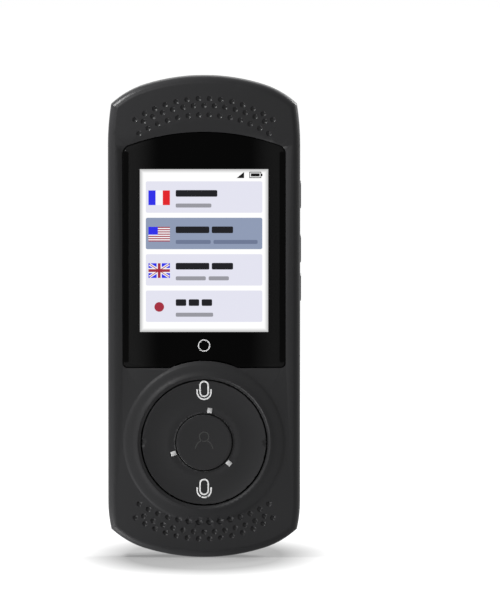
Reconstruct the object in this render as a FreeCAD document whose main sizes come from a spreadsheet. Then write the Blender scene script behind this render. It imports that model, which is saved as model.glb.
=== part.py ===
"""Handheld translator: a pocket case with a display window, a round talk rocker, side keys and a card tray.

Frame: X to the right as the user sees the display, Y from the display to the back, Z up the long side.
The origin is under the lowest point of the rounded lower end, half-way through the depth. Millimetres.
"""

import FreeCAD
import Part
import Sketcher
import math
import os

DOC = FreeCAD.newDocument("translator")

SIZES = [
    # The case.
    ("case_width", 55.0),
    ("case_length", 138.0),
    ("front_depth", 7.9),
    ("rear_depth", 6.8),
    ("face_wall", 1.8),
    ("side_wall", 1.6),
    ("back_wall", 1.6),
    # The outline: a flat crown, tighter shoulders, then a long taper into the straight side.
    ("crown_radius", 57.0),
    ("crown_half_width", 17.0),
    ("shoulder_radius", 25.2),
    ("corner_half_width", 26.6),
    ("upper_taper_length", 11.5),
    ("lower_taper_length", 8.0),
    ("face_rounding", 2.2),
    # The back: bowed across, and rolled down towards both ends.
    ("back_bow_radius", 127.5),
    ("back_roll_radius", 54.0),
    ("back_roll_length", 18.0),
    ("back_rim_bevel", 1.15),
    ("lip_gap", 0.1),
    ("lip_thickness", 0.8),
    ("lip_reach", 1.3),
    ("catch_length", 6.0),
    ("catch_depth", 0.35),
    ("catch_height", 0.8),
    ("catch_gap", 0.12),
    ("catch_spread", 46.0),
    # The display window and what is bonded behind it.
    ("window_half_width", 23.35),
    ("window_crown_z", 122.1),
    ("window_crown_radius", 63.0),
    ("window_foot_z", 54.4),
    ("window_crown_rounding", 2.6),
    ("window_foot_rounding", 1.4),
    ("window_gap", 0.08),
    ("window_sink", 0.12),
    ("window_edge_bevel", 0.35),
    ("glass_thickness", 0.9),
    ("tape_thickness", 0.15),
    ("panel_width", 42.0),
    ("panel_length", 53.6),
    ("panel_low_z", 60.3),
    ("panel_gap", 0.3),
    ("touch_film_thickness", 0.2),
    ("panel_thickness", 1.2),
    ("backlight_thickness", 1.0),
    ("backlight_margin", 0.3),
    ("flex_width", 16.0),
    ("flex_thickness", 0.15),
    ("flex_drop", 3.6),
    ("flex_landing", 4.5),
    # The raised ring, the talk rocker in it and the round key in the middle.
    ("rocker_z", 33.1),
    ("mound_radius", 23.3),
    ("mound_height", 0.9),
    ("mound_lip_width", 0.95),
    ("mound_lip_drop", 0.35),
    ("rocker_radius", 17.85),
    ("rocker_gap", 0.3),
    ("rocker_rim_rise", 0.45),
    ("rocker_rim_bevel", 0.25),
    ("rocker_dish_depth", 0.4),
    ("rocker_dish_radius", 29.0),
    ("rocker_moat_width", 1.95),
    ("rocker_moat_drop", 0.23),
    ("rocker_floor_depth", 1.3),
    ("rocker_skirt_width", 1.45),
    ("rocker_flange_width", 1.05),
    ("rocker_flange_thickness", 0.8),
    ("rocker_flange_gap", 0.15),
    ("rocker_lift_room", 0.4),
    ("trunnion_radius", 0.5),
    ("trunnion_reach", 1.7),
    ("trunnion_gap", 0.06),
    ("scoop_radius", 1.5),
    ("scoop_depth", 0.3),
    ("plunger_radius", 1.5),
    ("talk_key_reach", 14.1),
    ("talk_key_gap", 0.45),
    ("middle_key_radius", 8.0),
    ("middle_key_gap", 0.3),
    ("middle_key_rise", 0.2),
    ("middle_key_dish", 0.15),
    ("middle_key_edge", 0.2),
    ("middle_key_flat_radius", 3.0),
    ("middle_key_flange_width", 1.05),
    ("middle_key_flange_gap", 0.45),
    ("middle_key_flange_thickness", 0.6),
    ("middle_key_switch_gap", 0.4),
    ("light_angle", 80.0),
    ("light_centre_radius", 9.3),
    ("light_length", 1.5),
    ("light_width", 1.3),
    ("light_gap", 0.04),
    ("light_rise", 0.1),
    ("retainer_gap", 0.45),
    ("retainer_width", 3.1),
    ("retainer_thickness", 1.35),
    ("retainer_screw_inset", 1.5),
    # The dimples over the two microphones.
    ("dimple_arc_radius", 35.0),
    ("dimple_ball_radius", 0.95),
    ("dimple_depth", 0.42),
    ("upper_dimple_drop", 6.4),
    ("lower_dimple_drop", 5.4),
    ("dimple_outer_row_step", 2.0),
    ("dimple_inner_row_step", 2.7),
    ("dimple_outer_row_angle", 34.2),
    ("dimple_middle_row_angle", 29.6),
    ("dimple_inner_row_angle", 32.0),
    ("sound_port_radius", 0.4),
    # The fans of sound holes in the back.
    ("fan_step_angle", 4.6),
    ("fan_first_radius", 39.0),
    ("fan_first_row_gap", 2.75),
    ("fan_inner_row_gap", 2.14),
    ("fan_outer_row_gap", 2.62),
    ("fan_hole_radius", 0.8),
    ("fan_hole_taper", 0.028),
    ("grille_cloth_gap", 0.03),
    ("grille_cloth_thickness", 0.2),
    ("grille_cloth_margin", 1.2),
    # The round inlay in the back and its plate.
    ("inlay_radius", 19.1),
    ("inlay_gap", 0.1),
    ("inlay_thickness", 0.8),
    ("badge_width", 8.3),
    ("badge_length", 23.0),
    ("badge_corner", 3.0),
    ("badge_thickness", 0.5),
    ("badge_rise", 0.06),
    ("badge_gap", 0.04),
    # The strap slot at the upper end.
    ("strap_slot_width", 4.2),
    ("strap_slot_height", 1.8),
    ("strap_slot_drop", 3.4),
    ("strap_bar_thickness", 0.95),
    ("strap_channel_depth", 2.2),
    ("strap_block_width", 8.0),
    ("strap_block_height", 6.2),
    # The main board, its fasteners and what is soldered to it.
    ("board_standoff", 2.2),
    ("board_thickness", 1.0),
    ("board_gap", 1.6),
    ("boss_radius", 1.9),
    ("board_screw_radius", 0.75),
    ("board_screw_head_radius", 1.45),
    ("board_screw_head_height", 0.6),
    ("board_screw_length", 2.9),
    ("screw_gap", 0.03),
    ("board_hole_gap", 0.12),
    ("upper_boss_x", 20.3),
    ("upper_boss_z", 120.6),
    ("middle_boss_x", 22.3),
    ("middle_boss_z", 57.4),
    ("lower_boss_x", 20.6),
    ("lower_boss_z", 13.6),
    ("screw_drive_width", 0.3),
    ("retainer_screw_radius", 0.6),
    ("retainer_screw_head_radius", 1.15),
    ("retainer_screw_head_height", 0.45),
    ("retainer_screw_length", 1.1),
    ("switch_size", 4.4),
    ("switch_body_height", 0.25),
    ("switch_dome_radius", 1.7),
    ("switch_dome_height", 0.15),
    ("light_source_size", 1.0),
    ("light_source_height", 0.6),
    ("cushion_width", 36.0),
    ("cushion_length", 44.0),
    ("cushion_frame", 5.0),
    ("shield_height", 1.5),
    ("shield_wall", 0.25),
    ("upper_shield_width", 24.0),
    ("upper_shield_length", 9.5),
    ("upper_shield_z", 120.6),
    ("lower_shield_width", 36.0),
    ("lower_shield_length", 20.0),
    ("lower_shield_z", 32.0),
    ("microphone_width", 3.5),
    ("microphone_length", 2.7),
    ("microphone_height", 1.0),
    ("boot_wall", 0.7),
    ("boot_bore_radius", 0.6),
    # The battery and the two loudspeakers.
    ("battery_width", 38.0),
    ("battery_length", 46.0),
    ("battery_thickness", 5.0),
    ("battery_rounding", 1.2),
    ("battery_tape_thickness", 0.2),
    ("battery_tape_margin", 3.0),
    ("connector_width", 5.0),
    ("connector_length", 3.0),
    ("connector_height", 1.4),
    ("connector_gap", 0.8),
    ("connector_inset", 1.0),
    ("speaker_width", 30.0),
    ("speaker_length", 17.0),
    ("speaker_depth", 4.4),
    ("speaker_corner", 2.0),
    ("speaker_reach", 44.0),
    ("speaker_lift", 1.75),
    ("speaker_frame_wall", 2.0),
    ("speaker_cone_depth", 0.9),
    ("antenna_width", 26.0),
    ("antenna_length", 4.0),
    ("antenna_height", 2.2),
    ("antenna_inset", 8.6),
    # The charging socket.
    ("socket_width", 8.94),
    ("socket_height", 3.26),
    ("socket_length", 7.4),
    ("socket_wall", 0.3),
    ("socket_recess", 0.9),
    ("socket_gap", 0.2),
    ("tongue_width", 6.6),
    ("tongue_thickness", 0.7),
    ("tongue_length", 5.0),
    # The side keys.
    ("key_length", 8.0),
    ("key_width", 2.5),
    ("key_gap", 0.08),
    ("key_rise", 0.25),
    ("key_flange_margin", 0.5),
    ("key_flange_thickness", 0.7),
    ("key_flange_gap", 0.05),
    ("key_stem_length", 0.4),
    ("key_stem_width", 1.4),
    ("key_lead", 0.4),
    ("key_travel", 0.3),
    ("power_key_z", 104.0),
    ("volume_up_key_z", 88.5),
    ("volume_down_key_z", 77.5),
    ("side_switch_depth", 2.2),
    ("side_switch_length", 4.6),
    ("side_switch_height", 1.3),
    ("side_switch_tip", 0.25),
    ("side_switch_gap", 0.1),
    # The card tray.
    ("tray_z", 104.3),
    ("tray_plate_length", 12.6),
    ("tray_plate_width", 1.9),
    ("tray_plate_depth", 1.3),
    ("tray_gap", 0.06),
    ("tray_length", 15.6),
    ("tray_width", 11.6),
    ("tray_thickness", 0.8),
    ("card_length", 12.3),
    ("card_width", 8.8),
    ("card_thickness", 0.55),
    ("card_margin", 1.2),
    ("tray_pin_hole_radius", 0.4),
    ("tray_pin_hole_offset", 5.0),
    ("reader_height", 1.55),
    ("reader_wall", 0.2),
    ("reader_clearance", 0.2),
    ("reader_inset", 3.5),
]


def make_sheet():
    """Writes the sizes to a spreadsheet, one named cell each."""
    sheet = DOC.addObject("Spreadsheet::Sheet", "Sizes")
    for row, (name, number) in enumerate(SIZES, start=1):
        sheet.set(f"A{row}", name)
        sheet.set(f"B{row}", str(number))
        sheet.setAlias(f"B{row}", name)
    DOC.recompute()
    return sheet


class Size:
    """A length or angle: its value now, and the expression that gives it from the sheet."""

    def __init__(self, number, text):
        self.number = float(number)
        self.text = text

    def __add__(self, other):
        other = sized(other)
        return Size(self.number + other.number, f"({self.text} + {other.text})")

    def __sub__(self, other):
        other = sized(other)
        return Size(self.number - other.number, f"({self.text} - {other.text})")

    def __mul__(self, other):
        other = sized(other)
        return Size(self.number * other.number, f"({self.text} * {other.text})")

    def __truediv__(self, other):
        other = sized(other)
        return Size(self.number / other.number, f"({self.text} / {other.text})")

    def __radd__(self, other):
        return sized(other) + self

    def __rsub__(self, other):
        return sized(other) - self

    def __rmul__(self, other):
        return sized(other) * self

    def __neg__(self):
        return Size(-self.number, f"(0 - {self.text})")


def sized(value):
    """A plain number as a Size."""
    return value if isinstance(value, Size) else Size(value, f"{float(value)!r}")


def root(value):
    """The square root of a Size."""
    return Size(math.sqrt(value.number), f"sqrt({value.text})")


def cosine(angle):
    """The cosine of an angle in degrees."""
    return Size(math.cos(math.radians(angle.number)), f"cos({angle.text} * 1 deg)")


def sine(angle):
    """The sine of an angle in degrees."""
    return Size(math.sin(math.radians(angle.number)), f"sin({angle.text} * 1 deg)")


SHEET = make_sheet()


def cell(name):
    """The named cell as a Size."""
    return Size(SHEET.get(name), f"Sizes.{name}")


def bow(half_chord, rise):
    """The radius of an arc from its half chord and its rise."""
    return (half_chord * half_chord + rise * rise) / (2 * rise)


# Places that several pieces share, from front to back.
TOTAL_DEPTH = cell("mound_height") + cell("front_depth") + cell("rear_depth")
SPLIT_Y = TOTAL_DEPTH / 2 - cell("rear_depth")
FACE_Y = SPLIT_Y - cell("front_depth")
CREST_Y = FACE_Y - cell("mound_height")
BACK_Y = SPLIT_Y + cell("rear_depth")
INNER_FACE_Y = FACE_Y + cell("face_wall")
BOARD_FRONT_Y = INNER_FACE_Y + cell("board_standoff")
BOARD_BACK_Y = BOARD_FRONT_Y + cell("board_thickness")
GLASS_FRONT_Y = FACE_Y + cell("window_sink")
GLASS_BACK_Y = GLASS_FRONT_Y + cell("glass_thickness")
LEDGE_Y = GLASS_BACK_Y + cell("tape_thickness")
FILM_BACK_Y = GLASS_BACK_Y + cell("touch_film_thickness")
PANEL_BACK_Y = FILM_BACK_Y + cell("panel_thickness")
BACKLIGHT_BACK_Y = PANEL_BACK_Y + cell("backlight_thickness")
HALF_WIDTH = cell("case_width") / 2
MIDDLE_Z = cell("case_length") / 2
PANEL_HIGH_Z = cell("panel_low_z") + cell("panel_length")
PANEL_Z = cell("panel_low_z") + cell("panel_length") / 2
KEY_Y = BOARD_FRONT_Y - cell("key_lead")
ROCKER_Z = cell("rocker_z")
BORE_RADIUS = cell("rocker_radius") + cell("rocker_gap")
ROCKER_RIM_Y = FACE_Y - cell("rocker_rim_rise")
ROCKER_FLOOR_Y = FACE_Y + cell("rocker_floor_depth")
LIFT_FLOOR_Y = INNER_FACE_Y - cell("rocker_lift_room")
FLANGE_TOP_Y = INNER_FACE_Y + cell("rocker_flange_gap")
FLANGE_BACK_Y = FLANGE_TOP_Y + cell("rocker_flange_thickness")
FLANGE_RADIUS = cell("rocker_radius") + cell("rocker_flange_width")
TRUNNION_Y = FLANGE_TOP_Y + cell("rocker_flange_thickness") / 2
SWITCH_TOP_Y = BOARD_FRONT_Y - cell("switch_body_height") - cell("switch_dome_height")
KEY_BORE_RADIUS = cell("middle_key_radius") + cell("middle_key_gap")
SPEAKER_FRONT_Y = BOARD_BACK_Y + cell("speaker_lift")
SPEAKER_BACK_Y = SPEAKER_FRONT_Y + cell("speaker_depth")
TRAY_Y = BOARD_BACK_Y + cell("reader_height") / 2
SOCKET_Y = (BOARD_FRONT_Y + BOARD_BACK_Y) / 2
LIP_INSET = cell("side_wall") + cell("lip_gap")

PLANES = {"X": "YZ_Plane", "Y": "XZ_Plane", "Z": "XY_Plane"}
NODES = []


def keep(item, name):
    """Names a finished piece, so that it is written out."""
    item.Label = name
    NODES.append(item)
    return item


def bind(item, prop, value):
    """Ties a property to the sheet."""
    item.setExpression(prop, sized(value).text)


def corner_drop(inset):
    """How far the outline's corner lies below the crown, for an outline drawn in by an inset."""
    crown = cell("crown_radius")
    shoulder = cell("shoulder_radius") - inset
    lean = cell("crown_half_width") / crown
    centre_x = lean * (crown - cell("shoulder_radius"))
    centre_drop = crown - root(1 - lean * lean) * (crown - cell("shoulder_radius"))
    reach = cell("corner_half_width") - inset - centre_x
    return centre_drop - root(shoulder * shoulder - reach * reach)


class Pen:
    """Draws closed lines in a sketch, each point held by its own two distances."""

    def __init__(self, sketch):
        self.sketch = sketch

    def hold(self, kind, *place, value):
        """Adds one dimension and ties it to the sheet."""
        index = self.sketch.addConstraint(Sketcher.Constraint(kind, *place, sized(value).number))
        self.sketch.setExpression(f"Constraints[{index}]", sized(value).text)

    def path(self, corners):
        """A closed line through corners. A corner is (x, y), or (x, y, r) where an arc of radius r
        leads to the next one: it turns left if r is positive, and right if r is negative."""
        ends = []
        for index, corner in enumerate(corners):
            after = corners[(index + 1) % len(corners)]
            start = FreeCAD.Vector(sized(corner[0]).number, sized(corner[1]).number, 0)
            stop = FreeCAD.Vector(sized(after[0]).number, sized(after[1]).number, 0)
            if len(corner) == 2:
                line = self.sketch.addGeometry(Part.LineSegment(start, stop), False)
                ends.append((line, 1, 2))
                continue
            ends.append(self.arc(start, stop, corner[2]))
        for index, (line, first, _) in enumerate(ends):
            before, _, last = ends[index - 1]
            self.sketch.addConstraint(Sketcher.Constraint("Coincident", before, last, line, first))
            self.hold("DistanceX", -1, 1, line, first, value=corners[index][0])
            self.hold("DistanceY", -1, 1, line, first, value=corners[index][1])
        for index, corner in enumerate(corners):
            if len(corner) == 3:
                size = corner[2] if sized(corner[2]).number > 0 else -sized(corner[2])
                self.hold("Radius", ends[index][0], value=size)

    def arc(self, start, stop, turn):
        """One arc of a path, as its index and which of its points come first and last."""
        turn = sized(turn).number
        chord = stop - start
        left = FreeCAD.Vector(-chord.y, chord.x, 0).normalize()
        reach = math.sqrt(max(turn * turn - chord.Length**2 / 4, 0))
        centre = (start + stop) / 2 + left * math.copysign(reach, turn)
        first, last = (start, stop) if turn > 0 else (stop, start)
        begin = math.atan2(first.y - centre.y, first.x - centre.x)
        end = math.atan2(last.y - centre.y, last.x - centre.x)
        if end < begin:
            end += 2 * math.pi
        circle = Part.Circle(centre, FreeCAD.Vector(0, 0, 1), abs(turn))
        line = self.sketch.addGeometry(Part.ArcOfCircle(circle, begin, end), False)
        return (line, 1, 2) if turn > 0 else (line, 2, 1)

    def rectangle(self, x, y, width, height):
        """A rectangle about its centre."""
        left, right = x - width / 2, x + width / 2
        low, high = y - height / 2, y + height / 2
        self.path([(left, low), (right, low), (right, high), (left, high)])

    def circle(self, x, y, radius):
        """A circle about its centre."""
        centre = FreeCAD.Vector(sized(x).number, sized(y).number, 0)
        round_line = Part.Circle(centre, FreeCAD.Vector(0, 0, 1), sized(radius).number)
        line = self.sketch.addGeometry(round_line, False)
        self.hold("DistanceX", -1, 1, line, 3, value=x)
        self.hold("DistanceY", -1, 1, line, 3, value=y)
        self.hold("Radius", line, value=radius)

    def slot(self, x, y, width, height):
        """A slot with round ends, about its centre, longer along the second axis or the first."""
        if sized(height).number > sized(width).number:
            reach, end = (height - width) / 2, width / 2
            self.path([(x + end, y - reach), (x + end, y + reach, end), (x, y + reach + end, end),
                       (x - end, y + reach), (x - end, y - reach, end), (x, y - reach - end, end)])
        else:
            reach, end = (width - height) / 2, height / 2
            self.path([(x - reach, y - end), (x + reach, y - end, end), (x + reach + end, y, end),
                       (x + reach, y + end), (x - reach, y + end, end), (x - reach - end, y, end)])

    def outline(self, inset):
        """The case's outline seen from the front, drawn in by an inset."""
        crown = cell("crown_radius")
        shoulder = cell("shoulder_radius") - inset
        side = HALF_WIDTH - inset
        corner_x = cell("corner_half_width") - inset
        lean = cell("crown_half_width") / crown
        upright = root(1 - lean * lean)
        joint_x = lean * (crown - inset)
        joint_drop = crown - upright * (crown - inset)
        drop = corner_drop(inset)

        def quarter(taper_length):
            """From the straight side to the crown, as distances from the middle line and from the end."""
            side_drop = drop + taper_length
            taper = bow(taper_length, side - corner_x)
            return [(side, side_drop, taper), (corner_x, drop, shoulder), (joint_x, joint_drop)]

        top = quarter(cell("upper_taper_length"))
        low = quarter(cell("lower_taper_length"))
        length = cell("case_length")
        self.path([
            (side, low[0][1]),
            (side, length - top[0][1], top[0][2]),
            (corner_x, length - top[1][1], shoulder),
            (joint_x, length - top[2][1], crown - inset),
            (-joint_x, length - top[2][1], shoulder),
            (-corner_x, length - top[1][1], top[0][2]),
            (-side, length - top[0][1]),
            (-side, low[0][1], low[0][2]),
            (-corner_x, low[1][1], shoulder),
            (-joint_x, low[2][1], crown - inset),
            (joint_x, low[2][1], shoulder),
            (corner_x, low[1][1], low[0][2]),
        ])

    def window(self, grow):
        """The display window's outline: arched at the top, and cut round the rocker's ring below."""
        half = cell("window_half_width") + grow
        crown_radius = cell("window_crown_radius") + grow
        crown_z = cell("window_crown_z") + grow
        foot = cell("window_foot_z") - grow
        bite = cell("mound_radius") + cell("window_gap") - grow
        shoulder_z = crown_z - crown_radius + root(crown_radius * crown_radius - half * half)
        bite_x = root(bite * bite - (foot - ROCKER_Z) * (foot - ROCKER_Z))
        self.path([(half, foot), (half, shoulder_z, crown_radius), (-half, shoulder_z), (-half, foot),
                   (-bite_x, foot, -bite), (bite_x, foot)])


class Piece:
    """A body built up and cut back by slabs. A slab lies between two places along X, Y or Z."""

    def __init__(self, name):
        self.body = DOC.addObject("PartDesign::Body", name)
        self.count = 0

    def sketch(self, axis, place, draw, shift=None):
        """A sketch square to an axis. Along X it is drawn in Y and Z, along Y in X and Z, and along Z in X and Y."""
        self.count += 1
        sketch = self.body.newObject("Sketcher::SketchObject", f"{self.body.Name}_{self.count}")
        plane = [item for item in self.body.Origin.OriginFeatures if item.Role == PLANES[axis]][0]
        sketch.AttachmentSupport = [(plane, "")]
        sketch.MapMode = "FlatFace"
        bind(sketch, "AttachmentOffset.Base.z", -sized(place) if axis == "Y" else place)
        if shift is not None:
            bind(sketch, "AttachmentOffset.Base.y", shift)
        draw(Pen(sketch))
        return sketch

    def feature(self, kind, sketch):
        self.count += 1
        item = self.body.newObject(f"PartDesign::{kind}", f"{self.body.Name}_{self.count}")
        item.Profile = sketch
        return item

    def pad(self, axis, low, high, draw):
        """Adds a slab."""
        pad = self.feature("Pad", self.sketch(axis, high if axis == "Y" else low, draw))
        bind(pad, "Length", sized(high) - low)
        self.body.Tip = pad
        return self

    def pocket(self, axis, low, high, draw):
        """Cuts a slab away."""
        pocket = self.feature("Pocket", self.sketch(axis, low if axis == "Y" else high, draw))
        bind(pocket, "Length", sized(high) - low)
        self.body.Tip = pocket
        return self

    def turn(self, draw, centre_z, kind="Revolution"):
        """Adds a turned form about a line along Y at a height. It is drawn as (y, radius)."""
        turned = self.feature(kind, self.sketch("X", 0, draw, shift=centre_z))
        turned.ReferenceAxis = (turned.Profile[0], ["H_Axis"])
        turned.Angle = 360
        self.body.Tip = turned
        return self

    def dress(self, kind, size_name, value, choose):
        """Rounds or bevels the edges that a test chooses."""
        DOC.recompute()
        base = self.body.Tip
        names = [f"Edge{index}" for index, edge in enumerate(base.Shape.Edges, start=1) if choose(base.Shape, edge)]
        if not names:
            raise ValueError(f"{self.body.Name} has no edges to dress")
        self.count += 1
        item = self.body.newObject(f"PartDesign::{kind}", f"{self.body.Name}_{self.count}")
        item.Base = (base, names)
        bind(item, size_name, value)
        self.body.Tip = item
        return self

    def round(self, value, choose):
        return self.dress("Fillet", "Radius", value, choose)

    def bevel(self, value, choose):
        return self.dress("Chamfer", "Size", value, choose)


def face_normals(shape, edge):
    """The outward normals, at the edge's middle, of the faces that meet there."""
    point = edge.valueAt((edge.FirstParameter + edge.LastParameter) / 2)
    found = []
    for face in shape.ancestorsOfType(edge, Part.Face):
        u, v = face.Surface.parameter(point)
        found.append(face.normalAt(u, v))
    return found


def rim(direction, test=None):
    """Chooses the edges between the walls along Y and the faces that look forwards (-1) or back (1)."""

    def choose(shape, edge):
        if test is not None and not test(edge.CenterOfMass):
            return False
        normals = face_normals(shape, edge)
        walls = [n for n in normals if abs(n.y) < 0.02]
        caps = [n for n in normals if n.y * direction > 0.5]
        return len(walls) == 1 and len(caps) == 1

    return choose


def along(axis, *tests):
    """Chooses the straight edges along an axis whose middles pass every test."""

    def choose(shape, edge):
        if not isinstance(edge.Curve, Part.Line) or abs(getattr(edge.Curve.Direction, axis.lower())) < 0.999:
            return False
        return all(test(edge.CenterOfMass) for test in tests)

    return choose


def block(name, x, y, z):
    """A plain block between pairs of places."""
    item = DOC.addObject("Part::Box", name)
    for prop, side, pair in (("Length", "x", x), ("Width", "y", y), ("Height", "z", z)):
        bind(item, prop, sized(pair[1]) - pair[0])
        bind(item, f"Placement.Base.{side}", pair[0])
    return item


TURNS = {
    "X": FreeCAD.Rotation(FreeCAD.Vector(0, 1, 0), 90),
    "Y": FreeCAD.Rotation(FreeCAD.Vector(1, 0, 0), -90),
    "Z": FreeCAD.Rotation(),
}


def rod(name, axis, start, length, radius):
    """A round rod from a point along +X, +Y or +Z."""
    item = DOC.addObject("Part::Cylinder", name)
    item.Placement = FreeCAD.Placement(FreeCAD.Vector(), TURNS[axis])
    bind(item, "Height", length)
    bind(item, "Radius", radius)
    for side, place in zip("xyz", start):
        bind(item, f"Placement.Base.{side}", place)
    return item


def ball(name, centre, radius):
    """A ball about a point."""
    item = DOC.addObject("Part::Sphere", name)
    bind(item, "Radius", radius)
    for side, place in zip("xyz", centre):
        bind(item, f"Placement.Base.{side}", place)
    return item


def cut(name, base, *tools):
    """A piece with others taken out of it."""
    tool = tools[0] if len(tools) == 1 else fuse(f"{name}_tools", *tools)
    item = DOC.addObject("Part::Cut", name)
    item.Base = base
    item.Tool = tool
    return item


def fuse(name, *items):
    item = DOC.addObject("Part::MultiFuse", name)
    item.Shapes = list(items)
    return item


def common(name, *items):
    item = DOC.addObject("Part::MultiCommon", name)
    item.Shapes = list(items)
    return item


def gather(name, *items):
    """Separate solids kept as one group."""
    item = DOC.addObject("Part::Compound", name)
    item.Links = list(items)
    return item


# The back's curved form.

def back_section(inset, shift):
    """The form's section across the case: square in front, bowed at the back."""
    radius = cell("back_bow_radius") - inset
    half = HALF_WIDTH + cell("side_wall")
    crown = BACK_Y - cell("back_bow_radius") - shift
    side = crown + root(radius * radius - half * half)
    front = SPLIT_Y - cell("side_wall") - shift
    return lambda pen: pen.path([(-half, front), (half, front), (half, side, radius), (-half, side)])


def back_form(name, inset):
    """The solid under the back's skin, drawn in by an inset: bowed across, and rolled forwards at both ends."""
    inset = sized(inset)
    piece = Piece(name)
    low = cell("back_roll_length")
    high = cell("case_length") - cell("back_roll_length")
    piece.pad("Z", low, high, back_section(inset, sized(0)))
    pivot_y = BACK_Y - cell("back_roll_radius")
    for place, backwards in ((high, False), (low, True)):
        roll = piece.feature("Revolution", piece.sketch("Z", place, back_section(inset, pivot_y), shift=pivot_y))
        roll.ReferenceAxis = (roll.Profile[0], ["H_Axis"])
        roll.Angle = 30
        roll.Reversed = backwards
        piece.body.Tip = roll
    return piece


def slab(name, low, high, inset):
    """The case's outline as a solid slab across the depth."""
    return Piece(name).pad("Y", low, high, lambda pen: pen.outline(sized(inset))).body


# Where the dimples, the sound holes and the screws are.

DIMPLE_ROWS = ((14, "outer"), (13, "middle"), (14, "inner"))


def dimple_places(end):
    """The dimples at the upper (1) or lower (-1) end, as rows of (x, z), outermost row first."""
    radius = cell("dimple_arc_radius").number
    steps = [0, cell("dimple_outer_row_step").number]
    steps.append(steps[1] + cell("dimple_inner_row_step").number)
    drop = cell("upper_dimple_drop" if end > 0 else "lower_dimple_drop").number
    crown_z = cell("case_length").number - drop if end > 0 else drop
    rows = []
    for row, (count, part) in enumerate(DIMPLE_ROWS):
        half_angle = cell(f"dimple_{part}_row_angle").number
        angles = [math.radians(half_angle * (2 * i / (count - 1) - 1)) for i in range(count)]
        apex = crown_z - end * steps[row]
        rows.append([(radius * math.sin(a), apex - end * radius * (1 - math.cos(a))) for a in angles])
    return rows


# For each row, the steps from the middle line at which it has holes on each side, and the name of
# its gap to the row inside it.
FAN_ROWS = (
    ((0.5, 1.5, 2.5, 3.5, 4.5, 5.5, 6.5), None),
    ((0, 1, 2, 3, 4, 5, 6), "fan_first_row_gap"),
    ((0.5, 1.5, 2.5, 3.5, 4.5, 5.5, 6.5), "fan_inner_row_gap"),
    ((0, 1, 2, 3, 4, 5), "fan_inner_row_gap"),
    ((0.5, 1.5, 2.5, 3.5, 4.5, 5.5), "fan_inner_row_gap"),
    ((0, 1, 2, 3, 4), "fan_inner_row_gap"),
    ((0.5, 1.5, 2.5, 3.5, 4.5), "fan_outer_row_gap"),
    ((0, 2, 3), "fan_outer_row_gap"),
    ((1.5, 3.5), "fan_outer_row_gap"),
    ((0, 2), "fan_outer_row_gap"),
)


def fan_places(end):
    """The sound holes towards the upper (1) or lower (-1) end, as (x, z, radius)."""
    radius = cell("fan_first_radius").number
    step = math.radians(cell("fan_step_angle").number)
    places = []
    for row, (steps, gap) in enumerate(FAN_ROWS):
        radius += cell(gap).number if gap else 0
        hole = cell("fan_hole_radius").number - row * cell("fan_hole_taper").number
        for along_row in sorted({s * side for s in steps for side in (-1, 1)}):
            x = radius * math.sin(step * along_row)
            z = MIDDLE_Z.number + end * radius * math.cos(step * along_row)
            places.append((x, z, hole))
    return places


def mirrored(x, z):
    return [(x, z), (-x, z)]


BOSSES = [place for part in ("upper", "middle", "lower")
          for place in mirrored(cell(f"{part}_boss_x"), cell(f"{part}_boss_z"))]
RETAINER_INNER = FLANGE_RADIUS + cell("retainer_gap")
RETAINER_OUTER = RETAINER_INNER + cell("retainer_width")
RETAINER_BACK_Y = INNER_FACE_Y + cell("retainer_thickness")
RETAINER_SCREWS = [(side * (RETAINER_INNER + cell("retainer_screw_inset")) * math.sqrt(0.5),
                    ROCKER_Z + up * (RETAINER_INNER + cell("retainer_screw_inset")) * math.sqrt(0.5))
                   for side in (-1, 1) for up in (-1, 1)]
SIDE_KEYS = {"power_key": cell("power_key_z"), "volume_up_key": cell("volume_up_key_z"),
             "volume_down_key": cell("volume_down_key_z")}
CATCHES = [MIDDLE_Z + step * cell("catch_spread") for step in (-1, 0, 1)]
UPPER_MICROPHONE = (0.0, dimple_places(1)[1][6][1])
LOWER_MICROPHONE = dimple_places(-1)[1][9]


def circles(places, radius):
    """Draws a circle of one radius at each place."""

    def draw(pen):
        for x, z in places:
            pen.circle(x, z, radius)

    return draw


# Covers.

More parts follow.
